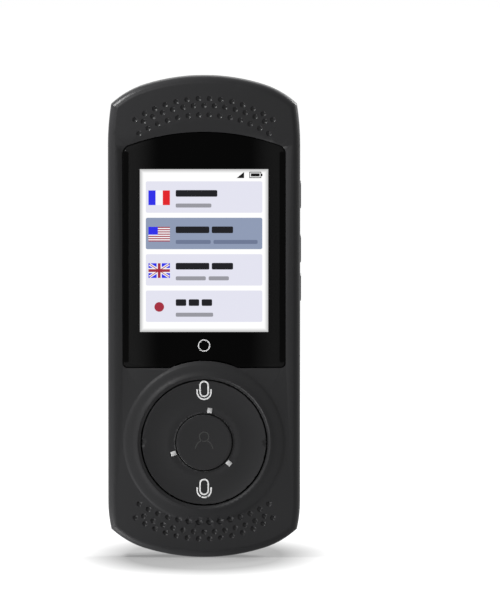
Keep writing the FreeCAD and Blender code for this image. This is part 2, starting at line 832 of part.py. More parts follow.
def make_front_cover():
    """The front shell: face, side walls, raised ring, ledge for the window, bosses and openings."""
    cover = Piece("front_shell")
    cover.pad("Y", FACE_Y, SPLIT_Y, lambda pen: pen.outline(sized(0)))
    cover.round(cell("face_rounding"), rim(-1))
    crest = BORE_RADIUS + cell("mound_lip_width")
    half_width = (cell("mound_radius") - crest) / 2
    half_rise = cell("mound_height") / 2
    sweep = bow(half_width, half_rise)
    lip = bow(cell("mound_lip_width"), cell("mound_lip_drop"))
    cover.turn(lambda pen: pen.path([
        (FACE_Y, cell("mound_radius"), sweep),
        (FACE_Y - half_rise, crest + half_width, -sweep),
        (CREST_Y, crest, -lip),
        (CREST_Y + cell("mound_lip_drop"), BORE_RADIUS),
        (INNER_FACE_Y, BORE_RADIUS),
        (INNER_FACE_Y, cell("mound_radius")),
    ]), ROCKER_Z)
    cover.pocket("Y", FACE_Y, LEDGE_Y, lambda pen: pen.window(sized(0)))
    cover.round(cell("window_crown_rounding"), along("Y", lambda p: abs(p.x) > cell("window_half_width").number - 1,
                                                     lambda p: p.y < LEDGE_Y.number,
                                                     lambda p: abs(p.x) < cell("window_half_width").number + 0.5,
                                                     lambda p: p.z > MIDDLE_Z.number))
    cover.round(cell("window_foot_rounding"), along("Y", lambda p: abs(p.x) > cell("window_half_width").number - 1,
                                                    lambda p: p.y < LEDGE_Y.number,
                                                    lambda p: abs(p.x) < cell("window_half_width").number + 0.5,
                                                    lambda p: p.z < MIDDLE_Z.number))
    cover.pocket("Y", INNER_FACE_Y, SPLIT_Y, lambda pen: pen.outline(cell("side_wall")))
    cover.pocket("Y", LEDGE_Y, INNER_FACE_Y, lambda pen: pen.rectangle(
        sized(0), PANEL_Z, cell("panel_width") + 2 * cell("panel_gap"), cell("panel_length") + 2 * cell("panel_gap")))
    cover.pocket("Y", CREST_Y, INNER_FACE_Y, lambda pen: pen.circle(sized(0), ROCKER_Z, BORE_RADIUS))
    cover.pocket("Y", LIFT_FLOOR_Y, INNER_FACE_Y,
                 lambda pen: pen.circle(sized(0), ROCKER_Z, FLANGE_RADIUS + cell("retainer_gap")))
    cover.pad("Y", INNER_FACE_Y, BOARD_FRONT_Y, circles(BOSSES, cell("boss_radius")))
    screw_bore = cell("board_screw_radius") + cell("screw_gap")
    cover.pocket("Y", BOARD_BACK_Y - cell("board_screw_length") - cell("screw_gap"), BOARD_FRONT_Y,
                 circles(BOSSES, screw_bore))
    cover.pocket("Y", INNER_FACE_Y - cell("retainer_screw_length") - cell("screw_gap"), INNER_FACE_Y,
                 circles(RETAINER_SCREWS, cell("retainer_screw_radius") + cell("screw_gap")))
    slot_x = (HALF_WIDTH - cell("side_wall") - 1, HALF_WIDTH + 1)
    for key_z in SIDE_KEYS.values():
        cover.pocket("X", *slot_x, lambda pen, z=key_z: pen.slot(
            KEY_Y, z, cell("key_width") + 2 * cell("key_gap"), cell("key_length") + 2 * cell("key_gap")))
    cover.pocket("X", -slot_x[1], -slot_x[0], lambda pen: pen.slot(
        TRAY_Y, cell("tray_z"), cell("tray_plate_width") + 2 * cell("tray_gap"),
        cell("tray_plate_length") + 2 * cell("tray_gap")))
    cover.pocket("Z", sized(-1), cell("side_wall") + 1, lambda pen: pen.slot(
        sized(0), SOCKET_Y, cell("socket_width") + 2 * cell("socket_gap"),
        cell("socket_height") + 2 * cell("socket_gap")))
    notch_reach = HALF_WIDTH - LIP_INSET + cell("catch_depth") + cell("catch_gap")
    notches = [block(f"front_notch_{name}_{index}",
                     sorted_pair(side * (HALF_WIDTH - LIP_INSET - cell("lip_thickness")), side * notch_reach),
                     (catch_y()[0] - cell("catch_gap"), catch_y()[1] + cell("catch_gap")),
                     (z - cell("catch_length") / 2 - cell("catch_gap"), z + cell("catch_length") / 2 + cell("catch_gap")))
               for side, name in ((-1, "left"), (1, "right")) for index, z in enumerate(CATCHES)]
    ports = [rod(f"sound_port_{index}", "Y", (x, FACE_Y - 1, z), cell("face_wall") + 2, cell("sound_port_radius"))
             for index, (x, z) in enumerate((UPPER_MICROPHONE, LOWER_MICROPHONE))]
    return keep(cut("front_cover_solid", cover.body, dimple_balls(), *notches, *ports), "front_cover")


def catch_y():
    """The depth that the snap catches take on the lip."""
    low = SPLIT_Y - cell("lip_reach")
    return low, low + cell("catch_height")


def sorted_pair(first, second):
    """Two sizes with the lower one first."""
    return (first, second) if sized(first).number < sized(second).number else (second, first)


def dimple_balls():
    """The balls that scoop the dimples out of the face, as one tool."""
    radius = cell("dimple_ball_radius").number
    centre_y = FACE_Y.number - radius + cell("dimple_depth").number
    places = [place for end in (1, -1) for row in dimple_places(end) for place in row]
    tool = DOC.addObject("Part::Feature", "dimple_balls")
    tool.Shape = Part.makeCompound([Part.makeSphere(radius, FreeCAD.Vector(x, centre_y, z)) for x, z in places])
    return tool


def make_rear_cover():
    """The rear shell: bowed back, bevelled rim, sound holes, seat for the inlay, lip with catches, strap slot."""
    shell = back_form("rear_shell", 0)
    far = cell("case_length")

    def trim(pen):
        pen.rectangle(sized(0), MIDDLE_Z, cell("case_width") * 2, far * 2)
        pen.outline(sized(0))

    deep = SPLIT_Y - cell("back_roll_length")
    shell.pocket("Y", deep, BACK_Y + 1, trim)
    shell.pocket("Y", deep, SPLIT_Y, lambda pen: pen.rectangle(sized(0), MIDDLE_Z, cell("case_width") * 2, far * 2))
    end_band = cell("case_length").number / 2 - corner_drop(sized(0)).number - 0.1
    shell.bevel(cell("back_rim_bevel"), rim(1, lambda point: abs(point.z - MIDDLE_Z.number) > end_band))
    hollow = common("rear_hollow", back_form("rear_hollow_form", cell("back_wall")).body,
                    slab("rear_hollow_slab", SPLIT_Y - 1, BACK_Y, cell("side_wall")))
    seat = cut("inlay_seat", common("inlay_seat_rod", back_form("inlay_seat_form", -1).body,
                                    rod("inlay_seat_round", "Y", (0, SPLIT_Y, MIDDLE_Z), BACK_Y - SPLIT_Y + 2,
                                        cell("inlay_radius") + cell("inlay_gap"))),
               back_form("inlay_seat_floor", cell("inlay_thickness")).body)
    lip_top = SPLIT_Y + 1
    lip_body = Piece("rear_lip")
    lip_body.pad("Y", SPLIT_Y - cell("lip_reach"), lip_top, lambda pen: pen.outline(LIP_INSET))
    lip_body.pad("Y", SPLIT_Y, lip_top, lambda pen: pen.outline(cell("side_wall") - cell("lip_gap")))
    lip_body.pocket("Y", SPLIT_Y - cell("lip_reach"), lip_top,
                    lambda pen: pen.outline(LIP_INSET + cell("lip_thickness")))
    lip_body.pocket("Y", SPLIT_Y - cell("lip_reach"), SPLIT_Y, lambda pen: pen.rectangle(
        -HALF_WIDTH, cell("tray_z"), 4 * LIP_INSET, cell("tray_plate_length") + 2 * cell("catch_gap")))
    catches = [block(f"rear_catch_{name}_{index}",
                     sorted_pair(side * (HALF_WIDTH - LIP_INSET - cell("lip_thickness") / 2),
                                 side * (HALF_WIDTH - LIP_INSET + cell("catch_depth"))),
                     catch_y(), (z - cell("catch_length") / 2, z + cell("catch_length") / 2))
               for side, name in ((-1, "left"), (1, "right")) for index, z in enumerate(CATCHES)]
    strap_low = cell("case_length") - cell("strap_block_height")
    strap_block = common("strap_block", block("strap_block_raw", (-cell("strap_block_width") / 2, cell("strap_block_width") / 2),
                                              (SPLIT_Y, BACK_Y), (strap_low, cell("case_length"))),
                         back_form("strap_block_form", cell("back_wall") / 2).body,
                         slab("strap_block_slab", SPLIT_Y, BACK_Y, cell("side_wall") / 2))
    slot_z = cell("case_length") - cell("strap_slot_drop")
    bar_front_y = strap_bar_front()
    half_slot = cell("strap_slot_width") / 2
    channel_y = (bar_front_y - cell("strap_channel_depth"), bar_front_y)
    back_slot = block("strap_back_slot", (-half_slot, half_slot), (channel_y[0], BACK_Y + 1),
                      (slot_z - cell("strap_slot_height") / 2, slot_z + cell("strap_slot_height") / 2))
    end_slot = block("strap_end_slot", (-half_slot, half_slot), channel_y,
                     (slot_z - cell("strap_slot_height") / 2, cell("case_length") + 1))
    solid = fuse("rear_cover_solid", cut("rear_skin", shell.body, hollow, seat, hole_rods()), lip_body.body,
                 *catches, strap_block)
    return keep(cut("rear_cover_cut", solid, back_slot, end_slot), "rear_cover")


def strap_bar_front():
    """The front of the bar that the strap loops round, under the rolled back."""
    reach = cell("back_roll_length") - cell("strap_slot_drop")
    roll = cell("back_roll_radius")
    skin_y = BACK_Y - roll + root(roll * roll - reach * reach)
    return skin_y - cell("strap_bar_thickness")


def hole_rods():
    """The rods that drill both fans of sound holes, as one tool."""
    start = SPLIT_Y.number
    length = cell("rear_depth").number + 1
    tool = DOC.addObject("Part::Feature", "hole_rods")
    tool.Shape = Part.makeCompound([
        Part.makeCylinder(hole, length, FreeCAD.Vector(x, start, z), FreeCAD.Vector(0, 1, 0))
        for end in (1, -1) for x, z, hole in fan_places(end)])
    return tool


def make_inlay_and_badge():
    """The round inlay flush with the back, and the plate let into it."""
    def shell_between(name, outer, inner, prism):
        return cut(name, common(f"{name}_part", back_form(f"{name}_outer", outer).body, prism),
                   back_form(f"{name}_inner", inner).body)

    disc = shell_between("inlay_disc", sized(0), cell("inlay_thickness") - cell("screw_gap"),
                         rod("inlay_round", "Y", (0, SPLIT_Y, MIDDLE_Z), BACK_Y - SPLIT_Y + 2, cell("inlay_radius")))
    plate_size = (cell("badge_width"), cell("badge_length"))
    floor = cell("badge_thickness")

    def pill(name, grow):
        body = Piece(name).pad("Y", SPLIT_Y, BACK_Y + 2, lambda pen: pen.rectangle(
            sized(0), MIDDLE_Z, plate_size[0] + 2 * grow, plate_size[1] + 2 * grow))
        return body.round(cell("badge_corner") + grow, along("Y")).body

    recess = shell_between("badge_recess", sized(-1), floor, pill("badge_recess_prism", cell("badge_gap")))
    plate = shell_between("badge_plate_solid", -cell("badge_rise"), floor, pill("badge_prism", sized(0)))
    keep(cut("rear_inlay_solid", disc, recess), "rear_inlay")
    keep(plate, "badge_plate")


# The display.

def make_display():
    """Window glass, its tape, the touch film, the panel, the backlight tray and the flex to the board."""
    def glass_form(name, low, high, grow):
        piece = Piece(name).pad("Y", low, high, lambda pen: pen.window(grow))
        half = cell("window_half_width").number - 1
        piece.round(cell("window_crown_rounding") + grow,
                    along("Y", lambda p: abs(p.x) > half, lambda p: p.z > MIDDLE_Z.number))
        piece.round(cell("window_foot_rounding") + grow,
                    along("Y", lambda p: abs(p.x) > half, lambda p: p.z < MIDDLE_Z.number))
        return piece

    glass = glass_form("window_glass", GLASS_FRONT_Y, GLASS_BACK_Y, -cell("window_gap"))
    glass.bevel(cell("window_edge_bevel"), rim(-1))
    keep(glass.body, "display_window")
    tape = glass_form("window_tape_body", GLASS_BACK_Y, LEDGE_Y, -cell("window_gap"))
    opening = (cell("panel_width") + 2 * cell("panel_gap"), cell("panel_length") + 2 * cell("panel_gap"))
    tape.pocket("Y", GLASS_BACK_Y, LEDGE_Y, lambda pen: pen.rectangle(sized(0), PANEL_Z, *opening))
    keep(tape.body, "window_tape")
    half = cell("panel_width") / 2
    height = (cell("panel_low_z"), PANEL_HIGH_Z)
    keep(block("film", (-half, half), (GLASS_BACK_Y, FILM_BACK_Y), height), "touch_film")
    keep(block("panel", (-half, half), (FILM_BACK_Y, PANEL_BACK_Y), height), "display_panel")
    margin = cell("backlight_margin")
    keep(block("backlight", (-half - margin, half + margin), (PANEL_BACK_Y, BACKLIGHT_BACK_Y),
               (cell("panel_low_z") - margin, PANEL_HIGH_Z + margin)), "backlight_tray")
    cushion = Piece("cushion").pad("Y", BACKLIGHT_BACK_Y, BOARD_FRONT_Y, lambda pen: pen.rectangle(
        sized(0), PANEL_Z, cell("cushion_width"), cell("cushion_length")))
    cushion.pocket("Y", BACKLIGHT_BACK_Y, BOARD_FRONT_Y, lambda pen: pen.rectangle(
        sized(0), PANEL_Z, cell("cushion_width") - 2 * cell("cushion_frame"),
        cell("cushion_length") - 2 * cell("cushion_frame")))
    keep(cushion.body, "display_cushion")
    flex_half = cell("flex_width") / 2
    sheet_thickness = cell("flex_thickness")
    top = cell("panel_low_z") - margin
    fold = top - cell("flex_drop")
    run_y = (BACKLIGHT_BACK_Y - sheet_thickness, BACKLIGHT_BACK_Y)
    keep(fuse("flex", block("flex_run", (-flex_half, flex_half), run_y, (fold, top)),
              block("flex_fold", (-flex_half, flex_half), (run_y[0], BOARD_FRONT_Y), (fold, fold + sheet_thickness)),
              block("flex_foot", (-flex_half, flex_half), (BOARD_FRONT_Y - sheet_thickness, BOARD_FRONT_Y),
                    (fold - cell("flex_landing"), fold + sheet_thickness))), "display_flex")


# The rocker and the key in its middle.

def make_rocker():
    """The dished talk rocker with its skirt, flange, trunnions, plungers and three light guides."""
    rocker = Piece("rocker_body")
    rim_radius = cell("rocker_radius")
    bevel_size = cell("rocker_rim_bevel")
    moat = KEY_BORE_RADIUS + cell("rocker_moat_width")
    moat_y = ROCKER_RIM_Y + cell("rocker_dish_depth")
    skirt = rim_radius - cell("rocker_skirt_width")
    rocker.turn(lambda pen: pen.path([
        (moat_y + cell("rocker_moat_drop"), KEY_BORE_RADIUS),
        (moat_y, moat, cell("rocker_dish_radius")),
        (ROCKER_RIM_Y, rim_radius - bevel_size),
        (ROCKER_RIM_Y + bevel_size, rim_radius),
        (FLANGE_TOP_Y, rim_radius),
        (FLANGE_TOP_Y, FLANGE_RADIUS),
        (FLANGE_BACK_Y, FLANGE_RADIUS),
        (FLANGE_BACK_Y, skirt),
        (ROCKER_FLOOR_Y, skirt),
        (ROCKER_FLOOR_Y, KEY_BORE_RADIUS),
    ]), ROCKER_Z)
    root_x = rim_radius
    tip_x = FLANGE_RADIUS + cell("trunnion_reach")
    trunnion = lambda pen: pen.circle(TRUNNION_Y, ROCKER_Z, cell("trunnion_radius"))
    rocker.pad("X", root_x, tip_x, trunnion)
    rocker.pad("X", -tip_x, -root_x, trunnion)
    talk_keys = [(sized(0), ROCKER_Z + side * cell("talk_key_reach")) for side in (-1, 1)]
    rocker.pad("Y", ROCKER_FLOOR_Y, SWITCH_TOP_Y - cell("talk_key_gap"), circles(talk_keys, cell("plunger_radius")))
    lights = [light_places(turn) for turn in range(3)]
    for place in lights:
        rocker.pocket("Y", CREST_Y, ROCKER_FLOOR_Y, lambda pen, p=place: light_outline(pen, p, cell("light_gap")))
    scoop_y = ROCKER_RIM_Y - bow(cell("scoop_radius"), cell("scoop_depth")) + cell("scoop_depth")
    scoops = [ball(f"scoop_{name}", (side * rim_radius, scoop_y, ROCKER_Z), bow(cell("scoop_radius"), cell("scoop_depth")))
              for side, name in ((-1, "left"), (1, "right"))]
    keep(cut("rocker_solid", rocker.body, *scoops), "talk_rocker")
    guides = [Piece(f"light_guide_{index}").pad("Y", moat_y - cell("light_rise"), ROCKER_FLOOR_Y,
                                                lambda pen, p=place: light_outline(pen, p, sized(0))).body
              for index, place in enumerate(lights)]
    keep(gather("light_guides", *guides), "indicator_lights")


def light_places(turn):
    """The direction of one of the three light guides round the key, as (cosine, sine)."""
    angle = cell("light_angle") + 120 * turn
    return cosine(angle), sine(angle)


def light_outline(pen, direction, grow):
    """A guide's rectangle, turned to lie along its radius."""
    c, s = direction
    centre = cell("light_centre_radius")
    half_length = cell("light_length") / 2 + grow
    half_width = cell("light_width") / 2 + grow
    corners = []
    for along_radius, across in ((1, -1), (1, 1), (-1, 1), (-1, -1)):
        radial = centre + along_radius * half_length
        corners.append((radial * c - across * half_width * s, ROCKER_Z + radial * s + across * half_width * c))
    pen.path(corners)


def make_middle_key():
    """The round key with its dished top, flange and plunger."""
    key = Piece("middle_key_body")
    radius = cell("middle_key_radius")
    top = FACE_Y - cell("middle_key_rise")
    edge = cell("middle_key_edge")
    flange_top = ROCKER_FLOOR_Y + cell("middle_key_flange_gap")
    flange_back = flange_top + cell("middle_key_flange_thickness")
    flange_radius = radius + cell("middle_key_flange_width")
    key.turn(lambda pen: pen.path([
        (top + cell("middle_key_dish"), sized(0)),
        (top + cell("middle_key_dish"), cell("middle_key_flat_radius")),
        (top, radius - edge, -edge),
        (top + edge, radius),
        (flange_top, radius),
        (flange_top, flange_radius),
        (flange_back, flange_radius),
        (flange_back, cell("plunger_radius")),
        (SWITCH_TOP_Y - cell("middle_key_switch_gap"), cell("plunger_radius")),
        (SWITCH_TOP_Y - cell("middle_key_switch_gap"), sized(0)),
    ]), ROCKER_Z)
    keep(key.body, "middle_key")


def make_retainer():
    """The ring that holds the rocker's trunnions against the front shell, and its screws."""
    ring = Piece("retainer_ring").pad("Y", INNER_FACE_Y, RETAINER_BACK_Y, lambda pen: (
        pen.circle(sized(0), ROCKER_Z, RETAINER_OUTER), pen.circle(sized(0), ROCKER_Z, RETAINER_INNER)))
    ring.pocket("Y", INNER_FACE_Y, RETAINER_BACK_Y,
                circles(RETAINER_SCREWS, cell("retainer_screw_radius") + cell("screw_gap")))
    seat_radius = cell("trunnion_radius") + cell("trunnion_gap")
    reach = RETAINER_OUTER + 1
    seat = rod("trunnion_seat", "X", (-reach, TRUNNION_Y, ROCKER_Z), 2 * reach, seat_radius)
    mouth = block("trunnion_mouth", (-reach, reach), (INNER_FACE_Y - 1, TRUNNION_Y),
                  (ROCKER_Z - seat_radius, ROCKER_Z + seat_radius))
    keep(cut("retainer_solid", ring.body, seat, mouth), "rocker_retainer")
    screws = [screw(f"retainer_screw_{index}", x, z, RETAINER_BACK_Y, "retainer_screw",
                    RETAINER_BACK_Y - INNER_FACE_Y + cell("retainer_screw_length"))
              for index, (x, z) in enumerate(RETAINER_SCREWS)]
    keep(gather("retainer_screw_set", *screws), "retainer_screws")


def screw(name, x, z, seat_y, kind, shank):
    """A pan screw whose head sits behind a seat, with its shank towards the front."""
    head = cell(f"{kind}_head_height")
    slot = cell("screw_drive_width") / 2
    return fuse(name, rod(f"{name}_shank", "Y", (x, seat_y - shank, z), shank + head / 2, cell(f"{kind}_radius")),
                cut(f"{name}_top", rod(f"{name}_head", "Y", (x, seat_y, z), head, cell(f"{kind}_head_radius")),
                    block(f"{name}_drive_a", (x - cell(f"{kind}_radius"), x + cell(f"{kind}_radius")),
                          (seat_y + head / 2, seat_y + head + 1), (z - slot, z + slot)),
                    block(f"{name}_drive_b", (x - slot, x + slot), (seat_y + head / 2, seat_y + head + 1),
                          (z - cell(f"{kind}_radius"), z + cell(f"{kind}_radius")))))


# The board and what stands on it.

def make_board():
    """The main board with its screw holes and the bay for the charging socket."""
    board = Piece("board_body")
    inset = cell("side_wall") + cell("board_gap")
    board.pad("Y", BOARD_FRONT_Y, BOARD_BACK_Y, lambda pen: pen.outline(inset))
    board.pocket("Y", BOARD_FRONT_Y, BOARD_BACK_Y,
                 circles(BOSSES, cell("board_screw_radius") + cell("board_hole_gap")))
    bay_top = cell("socket_recess") + cell("socket_length") + cell("socket_gap")
    board.pocket("Y", BOARD_FRONT_Y, BOARD_BACK_Y, lambda pen: pen.rectangle(
        sized(0), bay_top / 2, cell("socket_width") + 2 * cell("socket_gap"), bay_top))
    keep(board.body, "main_board")
    screws = [screw(f"board_screw_{index}", x, z, BOARD_BACK_Y, "board_screw", cell("board_screw_length"))
              for index, (x, z) in enumerate(BOSSES)]
    keep(gather("board_screw_set", *screws), "board_screws")


def dome_switch(name, z):
    """A flat switch on the board's front: a square body under a round dome."""
    half = cell("switch_size") / 2
    body_y = BOARD_FRONT_Y - cell("switch_body_height")
    return fuse(name, block(f"{name}_body", (-half, half), (body_y, BOARD_FRONT_Y), (z - half, z + half)),
                rod(f"{name}_dome", "Y", (0, SWITCH_TOP_Y, z), BOARD_FRONT_Y - SWITCH_TOP_Y, cell("switch_dome_radius")))


def make_switches():
    """The switches under the rocker, under the middle key and beside the side keys."""
    reach = cell("talk_key_reach")
    keep(gather("talk_switch_pair", dome_switch("upper_talk_switch", ROCKER_Z + reach),
                dome_switch("lower_talk_switch", ROCKER_Z - reach)), "talk_switches")
    keep(dome_switch("key_switch", ROCKER_Z), "middle_key_switch")
    size = cell("light_source_size") / 2
    spots = []
    for index in range(3):
        c, s = light_places(index)
        x, z = cell("light_centre_radius") * c, ROCKER_Z + cell("light_centre_radius") * s
        spots.append(block(f"light_source_{index}", (x - size, x + size),
                           (BOARD_FRONT_Y - cell("light_source_height"), BOARD_FRONT_Y), (z - size, z + size)))
    keep(gather("light_source_set", *spots), "light_sources")
    tip_x = key_stem_x() - cell("key_travel") - cell("side_switch_gap")
    body_x = tip_x - cell("side_switch_tip")
    half = cell("side_switch_length") / 2
    tip_half = cell("key_stem_width") / 2
    y = (BOARD_FRONT_Y - cell("side_switch_height"), BOARD_FRONT_Y)
    for name, z in SIDE_KEYS.items():
        keep(fuse(f"{name}_switch_solid",
                  block(f"{name}_switch_body", (body_x - cell("side_switch_depth"), body_x), y, (z - half, z + half)),
                  block(f"{name}_switch_tip", (body_x, tip_x), (KEY_Y - tip_half, KEY_Y + tip_half / 2),
                        (z - tip_half, z + tip_half))), name.replace("key", "switch"))


def key_stem_x():
    """Where a side key's stem ends, inside the case."""
    flange = HALF_WIDTH - cell("side_wall") - cell("key_flange_gap") - cell("key_flange_thickness")
    return flange - cell("key_stem_length")


def make_side_keys():
    """The side keys: a cap through the wall, a flange behind it and a stem towards the switch."""
    flange_x = HALF_WIDTH - cell("side_wall") - cell("key_flange_gap")
    flange_low = flange_x - cell("key_flange_thickness")
    margin = cell("key_flange_margin")
    for name, z in SIDE_KEYS.items():
        key = Piece(f"{name}_body")
        key.pad("X", flange_low, HALF_WIDTH + cell("key_rise"),
                lambda pen, z=z: pen.slot(KEY_Y, z, cell("key_width"), cell("key_length")))
        key.round(cell("key_rise"), lambda shape, edge: edge.BoundBox.XMin > HALF_WIDTH.number)
        key.pad("X", flange_low, flange_x,
                lambda pen, z=z: pen.slot(KEY_Y, z, cell("key_width") + 2 * margin, cell("key_length") + 2 * margin))
        key.pad("X", key_stem_x(), flange_low, lambda pen, z=z: pen.rectangle(
            KEY_Y, z, cell("key_stem_width"), cell("key_stem_width")))
        keep(key.body, name)


def make_shields():
    """The two tin cans over the radio parts, open towards the board."""
    wall = cell("shield_wall")
    for part, y in (("upper", (BOARD_FRONT_Y - cell("shield_height"), BOARD_FRONT_Y)),
                    ("lower", (BOARD_BACK_Y, BOARD_BACK_Y + cell("shield_height")))):
        half = cell(f"{part}_shield_width") / 2
        rise = cell(f"{part}_shield_length") / 2
        z = cell(f"{part}_shield_z")
        room = (y[0] + wall, y[1]) if part == "upper" else (y[0], y[1] - wall)
        keep(cut(f"{part}_can", block(f"{part}_can_outside", (-half, half), y, (z - rise, z + rise)),
                 block(f"{part}_can_room", (wall - half, half - wall), room, (z - rise + wall, z + rise - wall))),
             f"{part}_shield")


def make_microphones():
    """The two microphones on the board and the rubber boots that lead sound to them."""
    microphones, boots = [], []
    for index, (x, z) in enumerate((UPPER_MICROPHONE, LOWER_MICROPHONE)):
        x, z = sized(x), sized(z)
        half, rise = cell("microphone_width") / 2, cell("microphone_length") / 2
        top = BOARD_FRONT_Y - cell("microphone_height")
        wall = cell("boot_wall")
        microphones.append(block(f"microphone_{index}", (x - half, x + half), (top, BOARD_FRONT_Y), (z - rise, z + rise)))
        boots.append(cut(f"boot_{index}",
                         block(f"boot_{index}_outside", (x - half - wall, x + half + wall),
                               (INNER_FACE_Y, BOARD_FRONT_Y), (z - rise - wall, z + rise + wall)),
                         block(f"boot_{index}_room", (x - half, x + half), (top, BOARD_FRONT_Y), (z - rise, z + rise)),
                         rod(f"boot_{index}_bore", "Y", (x, INNER_FACE_Y - 1, z), cell("board_standoff"),
                             cell("boot_bore_radius"))))
    keep(gather("microphone_pair", *microphones), "microphones")
    keep(gather("boot_pair", *boots), "microphone_boots")


def make_battery():
    """The flat cell on its tape, and the connector on the board."""
    half, rise = cell("battery_width") / 2, cell("battery_length") / 2
    front = BOARD_BACK_Y + cell("battery_tape_thickness")
    pack = Piece("battery_body").pad("Y", front, front + cell("battery_thickness"), lambda pen: pen.rectangle(
        sized(0), MIDDLE_Z, cell("battery_width"), cell("battery_length")))
    pack.round(cell("battery_rounding"), along("Z"))
    keep(pack.body, "battery")
    margin = cell("battery_tape_margin")
    keep(block("tape", (margin - half, half - margin), (BOARD_BACK_Y, front),
               (MIDDLE_Z - rise + margin, MIDDLE_Z + rise - margin)), "battery_tape")
    plug = cell("connector_width") / 2
    low = MIDDLE_Z + rise + cell("connector_gap")
    edge = half - cell("connector_inset")
    keep(block("plug", (edge - 2 * plug, edge), (BOARD_BACK_Y, BOARD_BACK_Y + cell("connector_height")),
               (low, low + cell("connector_length"))), "battery_connector")


def make_speakers():
    """Two loudspeakers, each a frame with a cone, sealed to the back by a foam frame over a dust cloth."""
    cloth_inset = cell("back_wall") + cell("grille_cloth_gap")
    for part, side in (("upper", 1), ("lower", -1)):
        z = MIDDLE_Z + side * cell("speaker_reach")
        size = (cell("speaker_width"), cell("speaker_length"))
        wall = cell("speaker_frame_wall")
        frame = Piece(f"{part}_speaker_body").pad("Y", SPEAKER_FRONT_Y, SPEAKER_BACK_Y,
                                                 lambda pen, z=z: pen.rectangle(sized(0), z, *size))
        frame.round(cell("speaker_corner"), along("Y"))
        frame.pocket("Y", SPEAKER_BACK_Y - cell("speaker_cone_depth"), SPEAKER_BACK_Y,
                     lambda pen, z=z: pen.rectangle(sized(0), z, size[0] - 2 * wall, size[1] - 2 * wall))
        keep(frame.body, f"{part}_speaker")
        cone_y = (SPEAKER_BACK_Y - cell("speaker_cone_depth"), SPEAKER_BACK_Y - cell("speaker_cone_depth") / 2)
        cone = Piece(f"{part}_cone_body").pad("Y", *cone_y, lambda pen, z=z: pen.slot(
            sized(0), z, size[0] - 2 * wall - 1, size[1] - 2 * wall - 1))
        keep(cone.body, f"{part}_speaker_cone")
        gasket = Piece(f"{part}_gasket_body").pad("Y", SPEAKER_BACK_Y, BACK_Y,
                                                  lambda pen, z=z: pen.rectangle(sized(0), z, *size))
        gasket.round(cell("speaker_corner"), along("Y"))
        gasket.pocket("Y", SPEAKER_BACK_Y, BACK_Y, lambda pen, z=z: pen.rectangle(
            sized(0), z, size[0] - 2 * wall, size[1] - 2 * wall))
        keep(common(f"{part}_gasket", gasket.body, back_form(
            f"{part}_gasket_form", cloth_inset + cell("grille_cloth_thickness") + cell("grille_cloth_gap")).body),
            f"{part}_speaker_gasket")
        keep(common(f"{part}_cloth", cut(f"{part}_cloth_sheet", back_form(f"{part}_cloth_form", cloth_inset).body,
                                         back_form(f"{part}_cloth_under", cloth_inset + cell("grille_cloth_thickness")).body),
                    fan_slab(part, side)), f"{part}_grille_cloth")


def fan_slab(part, side):
    """A block over one fan of sound holes, with a margin round the outermost ones."""
    places = fan_places(side)
    margin = cell("grille_cloth_margin")
    reach = sized(max(x for x, _, _ in places)) + margin
    low = sized(min(z for _, z, _ in places)) - margin
    high = sized(max(z for _, z, _ in places)) + margin
    return block(f"{part}_fan_slab", (-reach, reach), (SPLIT_Y, BACK_Y), (low, high))


def make_antennas():
    """The radio antennas at both ends of the board."""
    half = cell("antenna_width") / 2
    y = (BOARD_BACK_Y, BOARD_BACK_Y + cell("antenna_height"))
    inset, length = cell("antenna_inset"), cell("antenna_length")
    top = cell("case_length") - inset
    keep(block("antenna_top", (-half, half), y, (top - length, top)), "upper_antenna")
    keep(block("antenna_low", (-half, half), y, (inset, inset + length)), "lower_antenna")


def make_socket():
    """The charging socket: a metal shell let into the board, with a tongue inside."""
    z = (cell("socket_recess"), cell("socket_recess") + cell("socket_length"))
    wall = cell("socket_wall")
    shell = Piece("socket_body").pad("Z", *z, lambda pen: pen.slot(
        sized(0), SOCKET_Y, cell("socket_width"), cell("socket_height")))
    shell.pocket("Z", z[0], z[1] - wall, lambda pen: pen.slot(
        sized(0), SOCKET_Y, cell("socket_width") - 2 * wall, cell("socket_height") - 2 * wall))
    keep(shell.body, "socket_shell")
    half, rise = cell("tongue_width") / 2, cell("tongue_thickness") / 2
    back = z[1] - wall
    keep(block("tongue", (-half, half), (SOCKET_Y - rise, SOCKET_Y + rise), (back - cell("tongue_length"), back)),
         "socket_tongue")


def make_tray():
    """The card tray with its flush face plate, and the reader cage that it slides into."""
    z = cell("tray_z")
    outside = -HALF_WIDTH
    plate_x = outside + cell("tray_plate_depth")
    end_x = plate_x + cell("tray_length")
    half = cell("tray_width") / 2
    thick = cell("tray_thickness") / 2
    tray = Piece("tray_body").pad("X", outside, plate_x, lambda pen: pen.slot(
        TRAY_Y, z, cell("tray_plate_width"), cell("tray_plate_length")))
    tray.pad("X", plate_x, end_x, lambda pen: pen.rectangle(TRAY_Y, z, 2 * thick, 2 * half))
    card_x = end_x - cell("card_margin") - cell("card_length") / 2
    tray.pocket("Y", TRAY_Y + thick - cell("card_thickness"), TRAY_Y + thick, lambda pen: pen.rectangle(
        card_x, z, cell("card_length"), cell("card_width")))
    tray.pocket("X", outside - 1, plate_x + 1, lambda pen: pen.circle(
        TRAY_Y, z + cell("tray_pin_hole_offset"), cell("tray_pin_hole_radius")))
    keep(tray.body, "card_tray")
    wall, room = cell("reader_wall"), cell("reader_clearance")
    cage_x = (outside + cell("reader_inset"), end_x + room + wall)
    cage_half = half + room + wall
    y = (BOARD_BACK_Y, BOARD_BACK_Y + cell("reader_height"))
    keep(cut("reader_cage", block("reader_outside", cage_x, y, (z - cage_half, z + cage_half)),
             block("reader_room", (cage_x[0] - 1, end_x + room), (y[0] + wall, y[1] - wall),
                   (z - half - room, z + half + room))), "card_reader")


